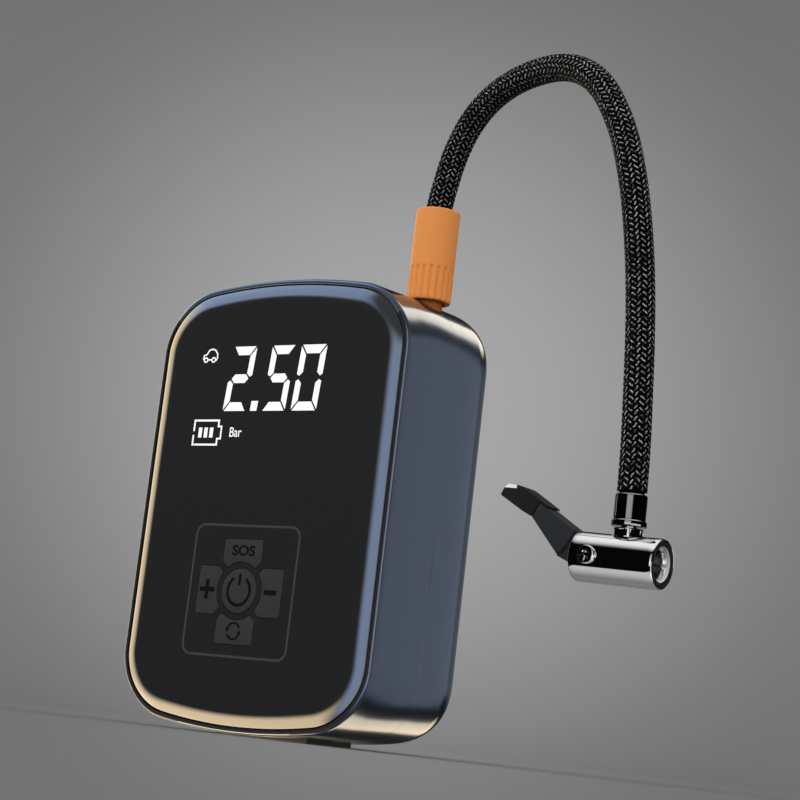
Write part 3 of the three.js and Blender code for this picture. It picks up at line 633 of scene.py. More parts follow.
# outline as (x, height from the middle) and the corner radii
KEYS = {
    "sos_key": ([(-11, -12), (-11, -18.9), (-8.9, -20.7), (2.2, -20.7), (4, -18.9), (4, -12)],
                [0.8, 0.4, 0.3, 0.3, 0.4, 0.8]),
    "plus_key": ([(-19.8, -20.5), (-19.8, -35.2), (-12.6, -35.2), (-10.6, -33.3),
                  (-10.6, -22.2), (-12.4, -20.5)], [0.8, 0.8, 0.4, 0.3, 0.3, 0.4]),
    "minus_key": ([(13.4, -20.6), (5.2, -20.6), (3.8, -22.1), (3.8, -33.6), (5.5, -35.2),
                   (13.4, -35.2)], [0.8, 0.4, 0.3, 0.3, 0.4, 0.8]),
    "mode_key": ([(-10.7, -36.7), (-9.4, -34.9), (2, -34.9), (4.1, -36.5), (4.1, -43.9),
                  (-10.7, -43.9)], [0.4, 0.3, 0.3, 0.4, 0.8, 0.8]),
}
KEY_GAP = 0.17


def from_middle(points):
    return [(x, z + BASE_Z + MIDDLE) for x, z in points]


def grow(polygon, distance):
    """Moves every side of a polygon outwards."""
    count = len(polygon)
    area = sum(polygon[i][0] * polygon[(i + 1) % count][1]
               - polygon[(i + 1) % count][0] * polygon[i][1] for i in range(count))
    sign = 1 if area > 0 else -1
    grown = []
    for i, point in enumerate(polygon):
        before, after = polygon[i - 1], polygon[(i + 1) % count]
        normal_in = np.array([point[1] - before[1], before[0] - point[0]])
        normal_in = normal_in / np.linalg.norm(normal_in)
        normal_out = np.array([after[1] - point[1], point[0] - after[0]])
        normal_out = normal_out / np.linalg.norm(normal_out)
        middle = (normal_in + normal_out) / np.linalg.norm(normal_in + normal_out)
        reach = sign * distance / float(middle @ normal_out)
        grown.append((point[0] + middle[0] * reach, point[1] + middle[1] * reach))
    return grown


def build_window():
    profile = [(6.5, FACE_Y + 2.0), (6.5, -21.3), (ROLL_INSET, -21.3),
               (ROLL_INSET, FACE_Y + ROLL_DEPTH + 0.35),
               (ROLL_INSET + 0.05, FACE_Y + ROLL_DEPTH + 0.12)]
    profile += [(ROLL_INSET + 0.14 + (ROLL_WIDTH - 0.14) * u,
                 FACE_Y + ROLL_DEPTH * (1 - u) ** 2.6) for u in np.linspace(0, 1, 20) ** 1.15]
    window = mesh_object("window", sweep_case(profile), "lens_black", sharp=50)
    cuts = []
    for polygon, radii in KEYS.values():
        outline = fillet(from_middle(grow(polygon, KEY_GAP)), [r + 0.15 for r in radii])
        well = cutter(prism("y", outline, -28, -20))
        cut_with(well, [cutter(cylinder("y", 8.65, -29, -19, KEYPAD_AT, 96))], sharp=None)
        cuts.append(well)
    cuts.append(cutter(cylinder("y", 6.8 + KEY_GAP, -28, -20, KEYPAD_AT, 96)))
    cut_with(window, cuts, sharp=50)
    finish(window, "case", "display_lens", "lens")


build_window()

# ---------------------------------------------------------------- keys
KEY_Y = FACE_Y - 0.13                # the keys stand proud of the window
POWER_KEY_Y = KEY_Y - 0.05
KEY_BACK_Y = -22.6

for key_name, (polygon, radii) in KEYS.items():
    outline = fillet(from_middle(polygon), radii)
    key = mesh_object(key_name + "_cap", prism("y", outline, KEY_Y, KEY_BACK_Y), "key_grey")
    cut_with(key, [cutter(cylinder("y", 8.85, -29, -19, KEYPAD_AT, 96))], sharp=None)
    bevel(key, width=0.16, segments=3, angle=40, sharp=50)
    finish(key, key_name.replace("_key", "_button"), "key", key_name)
key = mesh_object("power_key_cap",
                  cylinder("y", 6.8, POWER_KEY_Y, KEY_BACK_Y, KEYPAD_AT, 128), "key_grey")
bevel(key, width=0.2, segments=3, angle=40, sharp=50)
finish(key, "power_button", "key", "power_key")


# ---------------------------------------------------------------- key symbols
def glyph(name, polygons, body, slot="key", material="key_glyph", y=KEY_Y, height=0.05):
    """Thin inlay of several polygons, standing proud of the face at y."""
    vertices, faces = [], []
    for polygon in polygons:
        part_vertices, part_faces = prism("y", polygon, y - height, y + 0.15)
        faces += [tuple(i + len(vertices) for i in face) for face in part_faces]
        vertices += part_vertices
    finish(mesh_object(name, (vertices, faces), material, sharp=30), body, slot)


def arc_strip(centre, radius, width, start, end, steps):
    def arc(reach, first, last):
        return [(centre[0] + reach * math.cos(t), centre[1] + reach * math.sin(t))
                for t in np.radians(np.linspace(first, last, steps))]
    return arc(radius + width / 2, start, end) + arc(radius - width / 2, end, start)


def arrow_head(centre, radius, degrees, size):
    """Triangle on a circle, pointing anticlockwise."""
    angle = math.radians(degrees)
    cos, sin = math.cos(angle), math.sin(angle)
    x, z = centre[0] + radius * cos, centre[1] + radius * sin
    return [(x + cos * size, z + sin * size), (x - cos * size, z - sin * size),
            (x - sin * size * 1.5, z + cos * size * 1.5)]


def text_mesh(name, text, size, centre, y, material, body, slot, stretch, bold):
    curve = bpy.data.curves.new(name, "FONT")
    curve.body = text
    curve.size = size * MM
    curve.extrude = 0.1 * MM
    curve.offset = bold * MM
    curve.align_x = "CENTER"
    curve.align_y = "CENTER"
    holder = bpy.data.objects.new(name + "_curve", curve)
    COL.objects.link(holder)
    bpy.context.view_layer.update()
    depsgraph = bpy.context.evaluated_depsgraph_get()
    mesh = bpy.data.meshes.new_from_object(holder.evaluated_get(depsgraph))
    bpy.data.objects.remove(holder)
    bpy.data.curves.remove(curve)
    # stand the text up to face -Y
    mesh.transform(Matrix(((stretch, 0, 0, centre[0] * MM), (0, 0, -1, (y + 0.05) * MM),
                           (0, 1, 0, centre[1] * MM), (0, 0, 0, 1))))
    mesh.name = name
    mesh.materials.clear()
    weld(mesh)
    finish(link_object(name, mesh, MATS[material]), body, slot)


PAD_X, PAD_Z = KEYPAD_AT
BAR_HALF = 0.72                      # half width of the plus and minus strokes
PLUS_X, PLUS_ARM = -16.1, 3
PLUS = [(-PLUS_ARM, -BAR_HALF), (-BAR_HALF, -BAR_HALF), (-BAR_HALF, -PLUS_ARM),
        (BAR_HALF, -PLUS_ARM), (BAR_HALF, -BAR_HALF), (PLUS_ARM, -BAR_HALF),
        (PLUS_ARM, BAR_HALF), (BAR_HALF, BAR_HALF), (BAR_HALF, PLUS_ARM),
        (-BAR_HALF, PLUS_ARM), (-BAR_HALF, BAR_HALF), (-PLUS_ARM, BAR_HALF)]
MODE_AT, MODE_R = (-3.5, PAD_Z - 12.15), 2.45

glyph("power_symbol",
      [arc_strip(KEYPAD_AT, 4.35, 0.95, 122, 418, steps=40),
       fillet(rect(PAD_X - 0.5, PAD_X + 0.5, PAD_Z + 1.6, PAD_Z + 5.2), 0.45, 4)],
      "power_button", y=POWER_KEY_Y)
glyph("plus_symbol", [[(PLUS_X + x, PAD_Z + z) for x, z in PLUS]], "plus_button")
glyph("minus_symbol", [fillet(rect(6.6, 11.4, PAD_Z - BAR_HALF, PAD_Z + BAR_HALF), 0.1, 4)],
      "minus_button")
glyph("mode_symbol",
      [arc_strip(MODE_AT, MODE_R, 0.68, start, start + 140, steps=24) for start in (25, 205)]
      + [arrow_head(MODE_AT, MODE_R, degrees, size=0.8) for degrees in (163, 343)],
      "mode_button")
text_mesh("sos_symbol", "SOS", size=4.2, centre=(-3.3, PAD_Z + 12.1), y=KEY_Y,
          material="key_glyph", body="sos_button", slot="key", stretch=1.24, bold=0.12)


def build_keypad_outline():
    """The line round the keypad."""
    left, right, bottom, top = -23.5, 18.1, BASE_Z + MIDDLE - 47.9, BASE_Z + MIDDLE - 7.5
    radius, width = 3.6, 0.75
    outer = fillet(rect(left, right, bottom, top), radius, 12)
    inner = fillet(rect(left + width, right - width, bottom + width, top - width),
                   radius - width, 12)
    n = len(outer)
    vertices = [(x, y, z) for y in (FACE_Y - 0.04, FACE_Y + 0.1)
                for ring in (outer, inner) for x, z in ring]
    faces = []
    for i in range(n):
        j = (i + 1) % n
        faces += [(i, j, n + j, n + i), (2 * n + i, 3 * n + i, 3 * n + j, 2 * n + j),
                  (i, 2 * n + i, 2 * n + j, j), (n + i, n + j, 3 * n + j, 3 * n + i)]
    finish(mesh_object("keypad_outline", (vertices, faces), "frame_line", sharp=30),
           "case", "key")


build_keypad_outline()

# ---------------------------------------------------------------- display
# The display is laid out on a plane at DISPLAY_Y, and each point is moved along the line
# from the viewpoint onto the face of the window.
DISPLAY_Y = -23.9
VIEW_X, VIEW_Z, VIEW_DISTANCE = 391.5, -67.2, 458.1      # viewpoint; height from the middle
DIGIT_Z0, DIGIT_Z1 = 28.1, 48.6
ACROSS_T, UPRIGHT_T, SEGMENT_GAP = 2.75, 2.15, 0.42      # segment thicknesses and gap
# lit segments, x at the top and at the foot, width
DIGITS = [("ABGED", -19.3, -20.9, 9.4), ("AFGCD", -3.6, -5.1, 9.3), ("ABCDEF", 8.0, 6.5, 9.9)]


def on_face(x, z):
    k = (FACE_Y - DISPLAY_Y) / VIEW_DISTANCE
    return (x + k * (x - VIEW_X), z + k * (z - VIEW_Z) + BASE_Z + MIDDLE)


def all_on_face(polygon):
    return [on_face(x, z) for x, z in polygon]


def digit(lit, x_top, x_foot, width):
    """The lit segments of a leaning seven-segment digit: A top, B to F clockwise, G middle."""
    height = DIGIT_Z1 - DIGIT_Z0
    half, thick, upright, gap = height / 2, ACROSS_T, UPRIGHT_T, SEGMENT_GAP
    top = [(gap, height), (width - gap, height),
           (width - upright - gap * 0.7, height - thick), (upright + gap * 0.7, height - thick)]
    side = [(0, height - gap), (upright, height - thick - gap),
            (upright, half + thick / 2 + 0.3), (upright * 0.42, half + gap * 1.3),
            (0, half + 1.1)]
    middle = [(upright * 0.42 + gap, half), (upright + 0.35, half + thick / 2),
              (width - upright - 0.35, half + thick / 2), (width - upright * 0.42 - gap, half),
              (width - upright - 0.35, half - thick / 2), (upright + 0.35, half - thick / 2)]

    def flip(points):
        return [(x, height - z) for x, z in points]

    def mirror(points):
        return [(width - x, z) for x, z in points]

    segments = {"A": top, "B": mirror(side), "C": mirror(flip(side)), "D": flip(top),
                "E": flip(side), "F": side, "G": middle}
    return [[on_face(x_foot + (x_top - x_foot) * z / height + x, DIGIT_Z0 + z)
             for x, z in segments[letter]] for letter in lit]


def display_glyph(name, polygons):
    glyph(name, polygons, "case", "display_lens", "segment_glow", y=FACE_Y, height=0.03)


def battery_polygons():
    left, right, bottom, top, line = -32.0, -21.4, 17.1, 25.4, 0.62
    nub_low, nub_high = 19.6, 22.9
    shapes = [
        rect(left + 1.2, right, top, top - line),
        rect(left + 1.2, right, bottom, bottom + line),
        rect(right - line, right, bottom + line, nub_low),
        rect(right - line, right, nub_high, top - line),
        [(left, top), (left + 1.0, top), (left + 1.0, top - line), (left + line, top - line),
         (left + line, bottom + 4.6), (left, bottom + 4.6)],
        [(left, bottom), (left + 1.0, bottom), (left + 1.0, bottom + line),
         (left + line, bottom + line), (left + line, bottom + 3.4), (left, bottom + 3.4)],
        rect(right - line + 0.1, right + 1.3, nub_high, 23.45),
        rect(right - line + 0.1, right + 1.3, 19.05, nub_low),
        rect(right + 0.75, right + 1.3, nub_low, nub_high)]
    for i in range(3):
        x = left + 2.3 + 2.3 * i
        shapes.append(rect(x, x + 1.4, 19.65, 22.85))
    return [all_on_face(shape) for shape in shapes]


# body line of the car, x and height from the middle
CAR_LINE = [(-31.7, 44.7), (-31.6, 46.0), (-30.4, 46.4), (-29.6, 47.7), (-28.2, 48.1),
            (-26.9, 47.6), (-26.0, 46.5), (-25.9, 45.2), (-26.4, 44.3)]


def ribbon(points, width):
    """Quads of a band along an open path."""
    points = [np.array(point, float) for point in points]
    left, right = [], []
    for i, point in enumerate(points):
        along = points[min(i + 1, len(points) - 1)] - points[max(i - 1, 0)]
        along = along / np.linalg.norm(along)
        normal = np.array([-along[1], along[0]])
        left.append(tuple(point + normal * width / 2))
        right.append(tuple(point - normal * width / 2))
    return [[left[i], left[i + 1], right[i + 1], right[i]] for i in range(len(points) - 1)]


def car_polygons():
    quads = ribbon(all_on_face(CAR_LINE), 0.5)
    wheel_z, wheel_r, sides = 44.6, 0.95, 20
    for wheel_x in (-30.6, -27.4):
        outer, inner = [[on_face(wheel_x + radius * math.cos(t), wheel_z + radius * math.sin(t))
                         for t in np.linspace(0, 2 * math.pi, sides, endpoint=False)]
                        for radius in (wheel_r, wheel_r - 0.45)]
        quads += [[outer[i], outer[(i + 1) % sides], inner[(i + 1) % sides], inner[i]]
                  for i in range(sides)]
    quads.append(all_on_face(rect(-29.7, -28.3, 44.4, 44.85)))
    return quads


DECIMAL_POINT = [(-9.7, 28.1), (-7.1, 28.1), (-6.8, 31.2), (-9.5, 31.2)]
display_glyph("display_digits", [segment for spec in DIGITS for segment in digit(*spec)]
              + [all_on_face(DECIMAL_POINT)])
display_glyph("battery_symbol", battery_polygons())
display_glyph("car_symbol", car_polygons())
text_mesh("unit_symbol", "Bar", size=4.3, centre=on_face(-14.5, 21.25), y=FACE_Y + 0.02,
          material="segment_glow", body="case", slot="display_lens", stretch=0.84, bold=0.03)

# ---------------------------------------------------------------- foot pad and torch
foot = mesh_object("foot_pad_soft", box(-18, 18, -11, 11, 0.0, BASE_Z + 1.5), "rubber_black")
bevel(foot, width=0.25, segments=3, angle=30, sharp=60)
finish(foot, "case", "black_rubber", "foot_pad")
TORCH_PROFILE = [(0, 134.6), (3.6, 134.6), (4.3, 136), (4.3, 139.3), (4.2, 139.55),
                 (3.9, 139.75), (3.0, 139.95), (1.5, 140.1), (0, 140.15)]
torch = lathe("torch_window", TORCH_PROFILE, "torch_clear", 64, centre=TORCH_AT)
finish(torch, "case", "torch_glass", "torch_lens")


# ---------------------------------------------------------------- hose coupling
def build_coupling():
    """Orange grip at the outlet, fluted round its lower part."""
    low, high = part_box("hose_coupling")
    foot_z, top_z = low[2] / MM, high[2] / MM
    centre = ((low[0] + high[0]) / 2 / MM, (low[1] + high[1]) / 2 / MM)
    flute_length, flutes, radius = 10.7, 18, 6.85

    def flute(local, height, angle):
        if local < 6.0:
            return local
        phase = (flutes * (angle + 0.1) / (2 * math.pi)) % 1.0
        dip = math.exp(-((phase - 0.5) / 0.17) ** 2)     # grooves between rounded ribs
        fade = min(1.0, max(0.0, (flute_length + 0.3 - (height - foot_z)) / 1.1))
        fade = fade * fade * (3 - 2 * fade)
        return local - fade * 0.55 * dip

    profile = [(4.95, foot_z + 0.15), (5.1, foot_z), (6.3, foot_z), (6.55, foot_z + 0.06),
               (6.75, foot_z + 0.2), (radius, foot_z + 0.5)]
    profile += [(radius, foot_z + z) for z in np.linspace(1.2, flute_length - 1.4, 6)]
    profile += [(radius, foot_z + flute_length - 1.1 + 0.12 * i) for i in range(14)]
    profile += [(radius, foot_z + z)
                for z in np.linspace(flute_length + 1.0, top_z - foot_z - 0.9, 10)]
    profile += [(radius - 0.5 * (1 - math.cos(t)), top_z - 0.5 + 0.5 * math.sin(t))
                for t in np.radians([0, 22, 45, 68, 90])]
    profile += [(5.05, top_z), (4.87, top_z - 0.05), (4.77, top_z - 0.25), (4.75, top_z - 0.6),
                (4.75, 152.7 + BASE_Z), (2, 152.7 + BASE_Z), (2, 152 + BASE_Z),
                (4.95, 152 + BASE_Z)]
    grip = lathe("coupling_grip", profile, "grip_orange", 300, centre=centre, sharp=38,
                 shape=flute)
    finish(grip, "coupling", "orange_grip", "hose_coupling")


build_coupling()

# ---------------------------------------------------------------- line of the hose
HOSE_AZIMUTH = math.radians(-15.5)   # the upright plane the hose lies in, through the outlet
# distance out from the outlet, height over the underside
HOSE_LINE = [
    (0, 153), (0, 160), (0.1, 166), (0.8, 170), (2, 174.2), (3.9, 180.4), (6.8, 186.4),
    (11, 192.2), (17, 197.2), (24.1, 200.6), (32.1, 202.6), (40.9, 203.3), (49.6, 202.8),
    (57.6, 200.7), (65, 196.5), (70.8, 190.9), (75.7, 184.1), (79.9, 176.6), (83, 168.9),
    (86, 159.8), (88.3, 150.9), (90.7, 139.3), (92.5, 127.8), (94, 113.8), (95.1, 100),
    (95.7, 91.8), (96.1, 83.7), (96.3, 75)]
SAMPLE = 0.25                        # spacing of the resampled line


def catmull_rom(points, steps=60):
    """Centripetal Catmull-Rom curve through the points."""
    points = np.vstack([2 * points[0] - points[1], points, 2 * points[-1] - points[-2]])
    curve = []
    for i in range(1, len(points) - 2):
        span = points[i - 1:i + 3]
        knots = [0]
        for j in range(3):
            knots.append(knots[-1] + np.linalg.norm(span[j + 1] - span[j]) ** 0.5)
        at = np.linspace(knots[1], knots[2], steps, endpoint=False)[:, None]

        def mix(first, second, j, k):
            length = knots[k] - knots[j]
            return (knots[k] - at) / length * first + (at - knots[j]) / length * second

        low = [mix(span[j], span[j + 1], j, j + 1) for j in range(3)]
        mid = [mix(low[j], low[j + 1], j, j + 2) for j in range(2)]
        curve.append(mix(mid[0], mid[1], 1, 2))
    curve.append(points[-2][None])
    return np.vstack(curve)


def smooth_path(path, reach=16):
    """Running average over reach points to each side, the ends carried on straight."""
    kernel = np.hanning(2 * reach + 1)
    kernel /= kernel.sum()
    lead = path[0] + (path[1] - path[0]) * np.arange(-reach, 0)[:, None]
    tail = path[-1] + (path[-1] - path[-2]) * np.arange(1, reach + 1)[:, None]
    longer = np.vstack([lead, path, tail])
    return np.c_[np.convolve(longer[:, 0], kernel, "valid"),
                 np.convolve(longer[:, 1], kernel, "valid")]


line = np.array(HOSE_LINE, float)
line[:, 1] += BASE_Z
raw = catmull_rom(line)
raw_arc = np.r_[0, np.cumsum(np.linalg.norm(np.diff(raw, axis=0), axis=1))]
ARC = np.arange(0, raw_arc[-1], SAMPLE)
PATH = smooth_path(np.c_[np.interp(ARC, raw_arc, raw[:, 0]), np.interp(ARC, raw_arc, raw[:, 1])])
TANGENT = np.gradient(PATH, axis=0)
TANGENT /= np.linalg.norm(TANGENT, axis=1)[:, None]
HOSE_LENGTH = ARC[-1]
HOSE_START = np.array([OUTLET[0], OUTLET[1], 0.0])
OUTWARD = np.array([math.cos(HOSE_AZIMUTH), math.sin(HOSE_AZIMUTH), 0.0])
UPWARD = np.array([0, 0, 1.0])
SIDEWAYS = np.cross(UPWARD, OUTWARD)


def hose_frame(arc):
    """Centre, normal and binormal of the hose line at the arc lengths."""
    arc = np.clip(arc, 0, HOSE_LENGTH)
    out, height = np.interp(arc, ARC, PATH[:, 0]), np.interp(arc, ARC, PATH[:, 1])
    tangent_out = np.interp(arc, ARC, TANGENT[:, 0])
    tangent_up = np.interp(arc, ARC, TANGENT[:, 1])
    length = np.hypot(tangent_out, tangent_up)
    tangent_out, tangent_up = tangent_out / length, tangent_up / length
    centre = HOSE_START + out[..., None] * OUTWARD + height[..., None] * UPWARD
    normal = tangent_up[..., None] * OUTWARD - tangent_out[..., None] * UPWARD
    return centre, normal, np.broadcast_to(SIDEWAYS, centre.shape)


def nearest_arc(position):
    centre = HOSE_START + PATH[:, :1] * OUTWARD + PATH[:, 1:] * UPWARD
    return ARC[np.argmin(np.linalg.norm(centre - np.array(position) / MM, axis=1))]


bends = [joint for joint in frame["joints"] if joint["name"].startswith("hose_bend")]
bends.sort(key=lambda joint: joint["name"])
BENDS = [nearest_arc(joint["pos_m"]) for joint in bends]
EDGES = [0.0] + [(a + b) / 2 for a, b in zip(BENDS, BENDS[1:])] + [HOSE_LENGTH]

# ---------------------------------------------------------------- braided hose
STRANDS, PITCH = 16, 27.0            # strands each way, length of one turn
BRAID_R, WEAVE = 3.70, 0.20          # mean radius, rise and fall of a strand
STRAND_HALF_W, STRAND_HALF_T = 0.60, 0.17
STRAND_STEP = 0.36
STRAND_ANGLES = np.radians([0, 40, 63, 81, 99, 117, 140, 180, 270])
LEAN = math.atan2(2 * math.pi * BRAID_R, PITCH)


def braid_mesh(start, end):
    """Two families of crossing strands, and a flag on each face that carries a pale painted highlight."""
    steps = max(4, int(round((end - start) / STRAND_STEP)))
    arc = np.linspace(start, end, steps + 1)
    centre, normal, binormal = hose_frame(arc)
    tangent = np.cross(normal, binormal)
    forward = np.sign((tangent * np.gradient(centre, axis=0)).sum(1))[:, None] * tangent
    sides = len(STRAND_ANGLES)
    vertices, quads, painted_glints = [], [], []
    base = 0
    for way in (1, -1):
        for i in range(STRANDS):
            angle = 2 * math.pi * i / STRANDS + way * 2 * math.pi * arc / PITCH
            phase = (angle * STRANDS / math.pi - 0.5) * (2 * math.pi / 4)
            radius = BRAID_R + way * WEAVE * (np.tanh(2.0 * np.cos(phase)) / math.tanh(2.0))
            cos, sin = np.cos(angle)[:, None], np.sin(angle)[:, None]
            radial = cos * normal + sin * binormal
            around = -sin * normal + cos * binormal
            # square to the strand's own direction, in the surface of the tube
            across = math.cos(LEAN) * around - way * math.sin(LEAN) * forward
            middle = centre + radius[:, None] * radial
            ring = np.stack([middle + STRAND_HALF_W * math.cos(a) * across
                             + STRAND_HALF_T * math.sin(a) * radial for a in STRAND_ANGLES], 1)
            vertices.append(ring.reshape(-1, 3))
            index = base + np.arange((steps + 1) * sides).reshape(steps + 1, sides)
            shifted = np.roll(index, -1, 1)
            strand = np.stack([index[:-1], shifted[:-1], shifted[1:], index[1:]], -1)
            strand = strand.reshape(-1, 4)
            quads.append(strand[:, ::-1] if way < 0 else strand)
            # a short pale painted highlight on the crown of each float, drifting back to the hose line
            half = (phase[:-1] + phase[1:]) / 2
            late = (np.sin(half) > 0)[:, None]
            k = np.arange(sides)[None]
            glint_sides = np.where(late, (k == 3) | (k == 4), (k == 2) | (k == 3))
            crown = (way * np.cos(half) > 0.55)[:, None]
            painted_glints.append((crown & glint_sides).reshape(-1))
            base += (steps + 1) * sides
    return np.vstack(vertices), np.vstack(quads), np.concatenate(painted_glints)


def tube_mesh(start, end, radius=3.42, sides=32):
    """The dark tube under the braid."""
    steps = max(4, int(round((end - start) / 1.5)))
    centre, normal, binormal = hose_frame(np.linspace(start, end, steps + 1))
    angles = np.linspace(0, 2 * math.pi, sides, endpoint=False)[None, :, None]
    ring = centre[:, None] + radius * (np.cos(angles) * normal[:, None]
                                       + np.sin(angles) * binormal[:, None])
    index = np.arange((steps + 1) * sides).reshape(steps + 1, sides)
    shifted = np.roll(index, -1, 1)
    quads = np.stack([index[:-1], index[1:], shifted[1:], shifted[:-1]], -1).reshape(-1, 4)
    return ring.reshape(-1, 3), quads


BEND_REACH = 11.0                    # length to each side of a joint that bends
for i in range(5):
    start, end = EDGES[i], EDGES[i + 1]
    blend_from, blend_to = [
        tuple(hose_frame(np.array([arc]))[0][0] * MM)
        for arc in (max(start, BENDS[i] - BEND_REACH), min(end, BENDS[i] + BEND_REACH))]
    replaced = [f"hose_section_{i + 1}"] + (["hose_section_6"] if i == 4 else [])

    vertices, quads, painted_glints = braid_mesh(start, end)
    braid = array_mesh(f"hose_braid_{i + 1}", vertices, quads, "yarn_black")
    # the flags only fit if validation dropped no face
    if len(braid.data.polygons) == len(painted_glints):
        braid.data.materials.append(MATS["yarn_painted_glint"])
        braid.data.polygons.foreach_set("material_index", painted_glints.astype(np.int32))
    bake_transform(braid)
    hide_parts(*replaced)

    tube = array_mesh(f"hose_tube_{i + 1}", *tube_mesh(start, end), "hose_core")
    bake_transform(tube)

# ---------------------------------------------------------------- crimp sleeve and stem
low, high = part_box("crimp_sleeve")
SLEEVE_AT = ((low[0] + high[0]) / 2 / MM, (low[1] + high[1]) / 2 / MM)
# radius, height over the underside
SLEEVE_PROFILE = [
    (2.2, 65.6), (4.45, 65.6), (4.68, 65.7), (4.75, 65.95), (4.75, 66.9), (4.66, 67.12),
    (4.42, 67.25), (4.36, 67.5), (4.36, 73.7), (4.3, 74.0), (4.12, 74.25), (3.95, 74.3),
    (3.85, 74.2), (3.85, 67.9), (2.2, 67.9)]
STEM_PROFILE = [
    (1.1, 62.5), (3.95, 62.5), (4.1, 62.62), (4.1, 62.8), (4.1, 62.9), (4.1, 64.6),
    (4.1, 64.75), (4.05, 65.0), (3.8, 65.1), (1.8, 65.3), (1.8, 84), (1.5, 84.6), (1.1, 84.6)]


def over_base(profile):
    return [(radius, height + BASE_Z) for radius, height in profile]


def hex_neck(radius, height, angle):
    """A hexagonal neck with rounded corners between the two turned ends."""
    if radius > 3.6 and 62.85 + BASE_Z < height < 64.7 + BASE_Z:
        from_flat = (angle % (math.pi / 3)) - math.pi / 6
        return min(4.12, 3.72 / math.cos(from_flat))
    return radius


# the sleeve takes the dimmed chrome, painted shade
sleeve = lathe("sleeve_polished", over_base(SLEEVE_PROFILE), "chrome_dimmed",
               centre=SLEEVE_AT, sharp=40)
finish(sleeve, "hose_end", "chuck_chrome", "crimp_sleeve")
stem = lathe("stem_polished", over_base(STEM_PROFILE), "chrome_bright", 144,
             centre=SLEEVE_AT, sharp=35, shape=hex_neck)
finish(stem, "chuck", "chuck_chrome", "chuck_stem")

# ---------------------------------------------------------------- chuck
# Built along +X with the lever's pivot on the axis at PIVOT, then turned into place.
PIVOT = -8.0
joints = {name: next(j for j in frame["joints"] if j["name"] == name)
          for name in ("lever_swing", "jaw_slide")}
chuck_x = Vector(joints["jaw_slide"]["axis"]).normalized()
chuck_y = Vector(joints["lever_swing"]["axis"]).normalized()
chuck_z = chuck_x.cross(chuck_y).normalized()
chuck_at = Vector(joints["lever_swing"]["pos_m"]) - chuck_x * (PIVOT * MM)
CHUCK_FRAME = Matrix((*zip(chuck_x, chuck_y, chuck_z, chuck_at), (0, 0, 0, 1)))


def finish_chuck(obj, body, slot, replaced):
    obj.data.transform(CHUCK_FRAME)
    finish(obj, body, slot, replaced)


def build_barrel():
    radius = 6.85
    profile = [(0, -13.8), (6.5, -13.8), (6.68, -13.74), (6.8, -13.6), (radius, -13.38),
               (radius, -12), (radius, -6), (radius, 2), (radius, 9.1)]
    profile += [(radius - 0.32 * (1 - math.cos(t)), 9.1 + 1.7 * math.sin(t))
                for t in np.radians([15, 30, 45, 60, 72, 82, 90])]
    profile += [(6.47, 10.88), (6.40, 10.9), (6.33, 10.84), (6.3, 10.7), (6.3, 9.6),
                (5.9, 9.6), (5.9, -2.1), (0, -2.1)]
    barrel = lathe("chuck_barrel", profile, "chrome_bright", 144, axis="x", sharp=30)
    cut_with(barrel, [
        cutter(box(-20, -3, -2.5, 2.5, -6, 9)),                      # lever slot
        cutter(cylinder("y", 1.8, -9, 9, (PIVOT, 0), 40)),           # pin hole
        cutter(cylinder("z", 1.3, 4, 9, (0, 0), 32)),                # hole in the +z side
        cutter(cylinder("z", 4.6, 5.35, 9, (0, 0), 64))], sharp=30)  # flat round that hole
    finish_chuck(barrel, "chuck", "chuck_chrome", "chuck_body")


def build_seal():
    profile = [(4.6, 8.15), (5.5, 8.15), (5.58, 8.3), (5.58, 9.85), (6.2, 9.85), (6.24, 10.0),
               (6.24, 10.5), (6.12, 10.66), (5.9, 10.7), (4.95, 10.7), (4.72, 10.62),
               (4.6, 10.4)]
    seal = lathe("seal_ring", profile, "seal_gloss", axis="x", sharp=50)
    second_material(seal, "painted_highlight_pale")
    # the wall of the bore is painted pale: a painted highlight
    for face in seal.data.polygons:
        x, y, z = face.center
        if math.hypot(y, z) < 4.69 * MM and x > 8.2 * MM:
            face.material_index = 1
    finish_chuck(seal, "chuck", "black_rubber", "chuck_seal")


def build_jaws():
    """Six fingers with rounded noses round the bore."""
    profile = [(4.15, -0.98), (5.4, -0.98), (5.48, -0.85), (5.48, 6.2), (5.3, 6.6), (4.5, 6.9),
               (4.48, 7.1), (4.48, 9.5), (4.44, 9.66), (4.34, 9.7), (4.22, 9.6), (3.9, 8.7),
               (3.88, 8.2), (3.95, 5.0), (4.12, 4.0)]
    jaws = lathe("chuck_jaws_cut", profile, "jaw_steel", 120, axis="x", sharp=40)
    slits = []
    for degrees in (0, 60, 120):
        vertices, faces = box(3.4, 11, -7, 7, -0.5, 0.5)
        slits.append(cutter(([(x, *turn(y, z, degrees)) for x, y, z in vertices], faces)))
    cut_with(jaws, slits, sharp=35)
    finish_chuck(jaws, "jaws", "chuck_chrome", "chuck_jaws")


def build_pin():
    """Pin with domed heads, one with a small recess of three crossed slots."""
    head = [(0, 7.95), (1.2, 7.93), (2.0, 7.84), (2.3, 7.76), (2.42, 7.66), (2.5, 7.45),
            (2.5, 6.95), (1.5, 6.9)]
    profile = [(radius, -height) for radius, height in head] + head[::-1]
    pin = lathe("lever_pin_domed", profile, "chrome_bright", 64, sharp=40)
    pin.data.transform(Matrix.Rotation(math.radians(-90), 4, "X"))
    pin.data.transform(Matrix.Translation((PIVOT * MM, 0, 0)))
    slots = []
    for degrees in (20, 80, 140):
        vertices, faces = box(-1.75, 1.15, -9, -7.45, -0.26, 0.26)
        turned = []
        for x, y, z in vertices:
            turned_x, turned_z = turn(x, z, degrees)
            turned.append((turned_x + PIVOT, y, turned_z))
        slots.append(cutter((turned, faces)))
    cut_with(pin, slots, sharp=35)
    bevel(pin, width=0.13, segments=2, angle=50, sharp=35)
    finish_chuck(pin, "chuck", "chuck_chrome", "lever_pin")


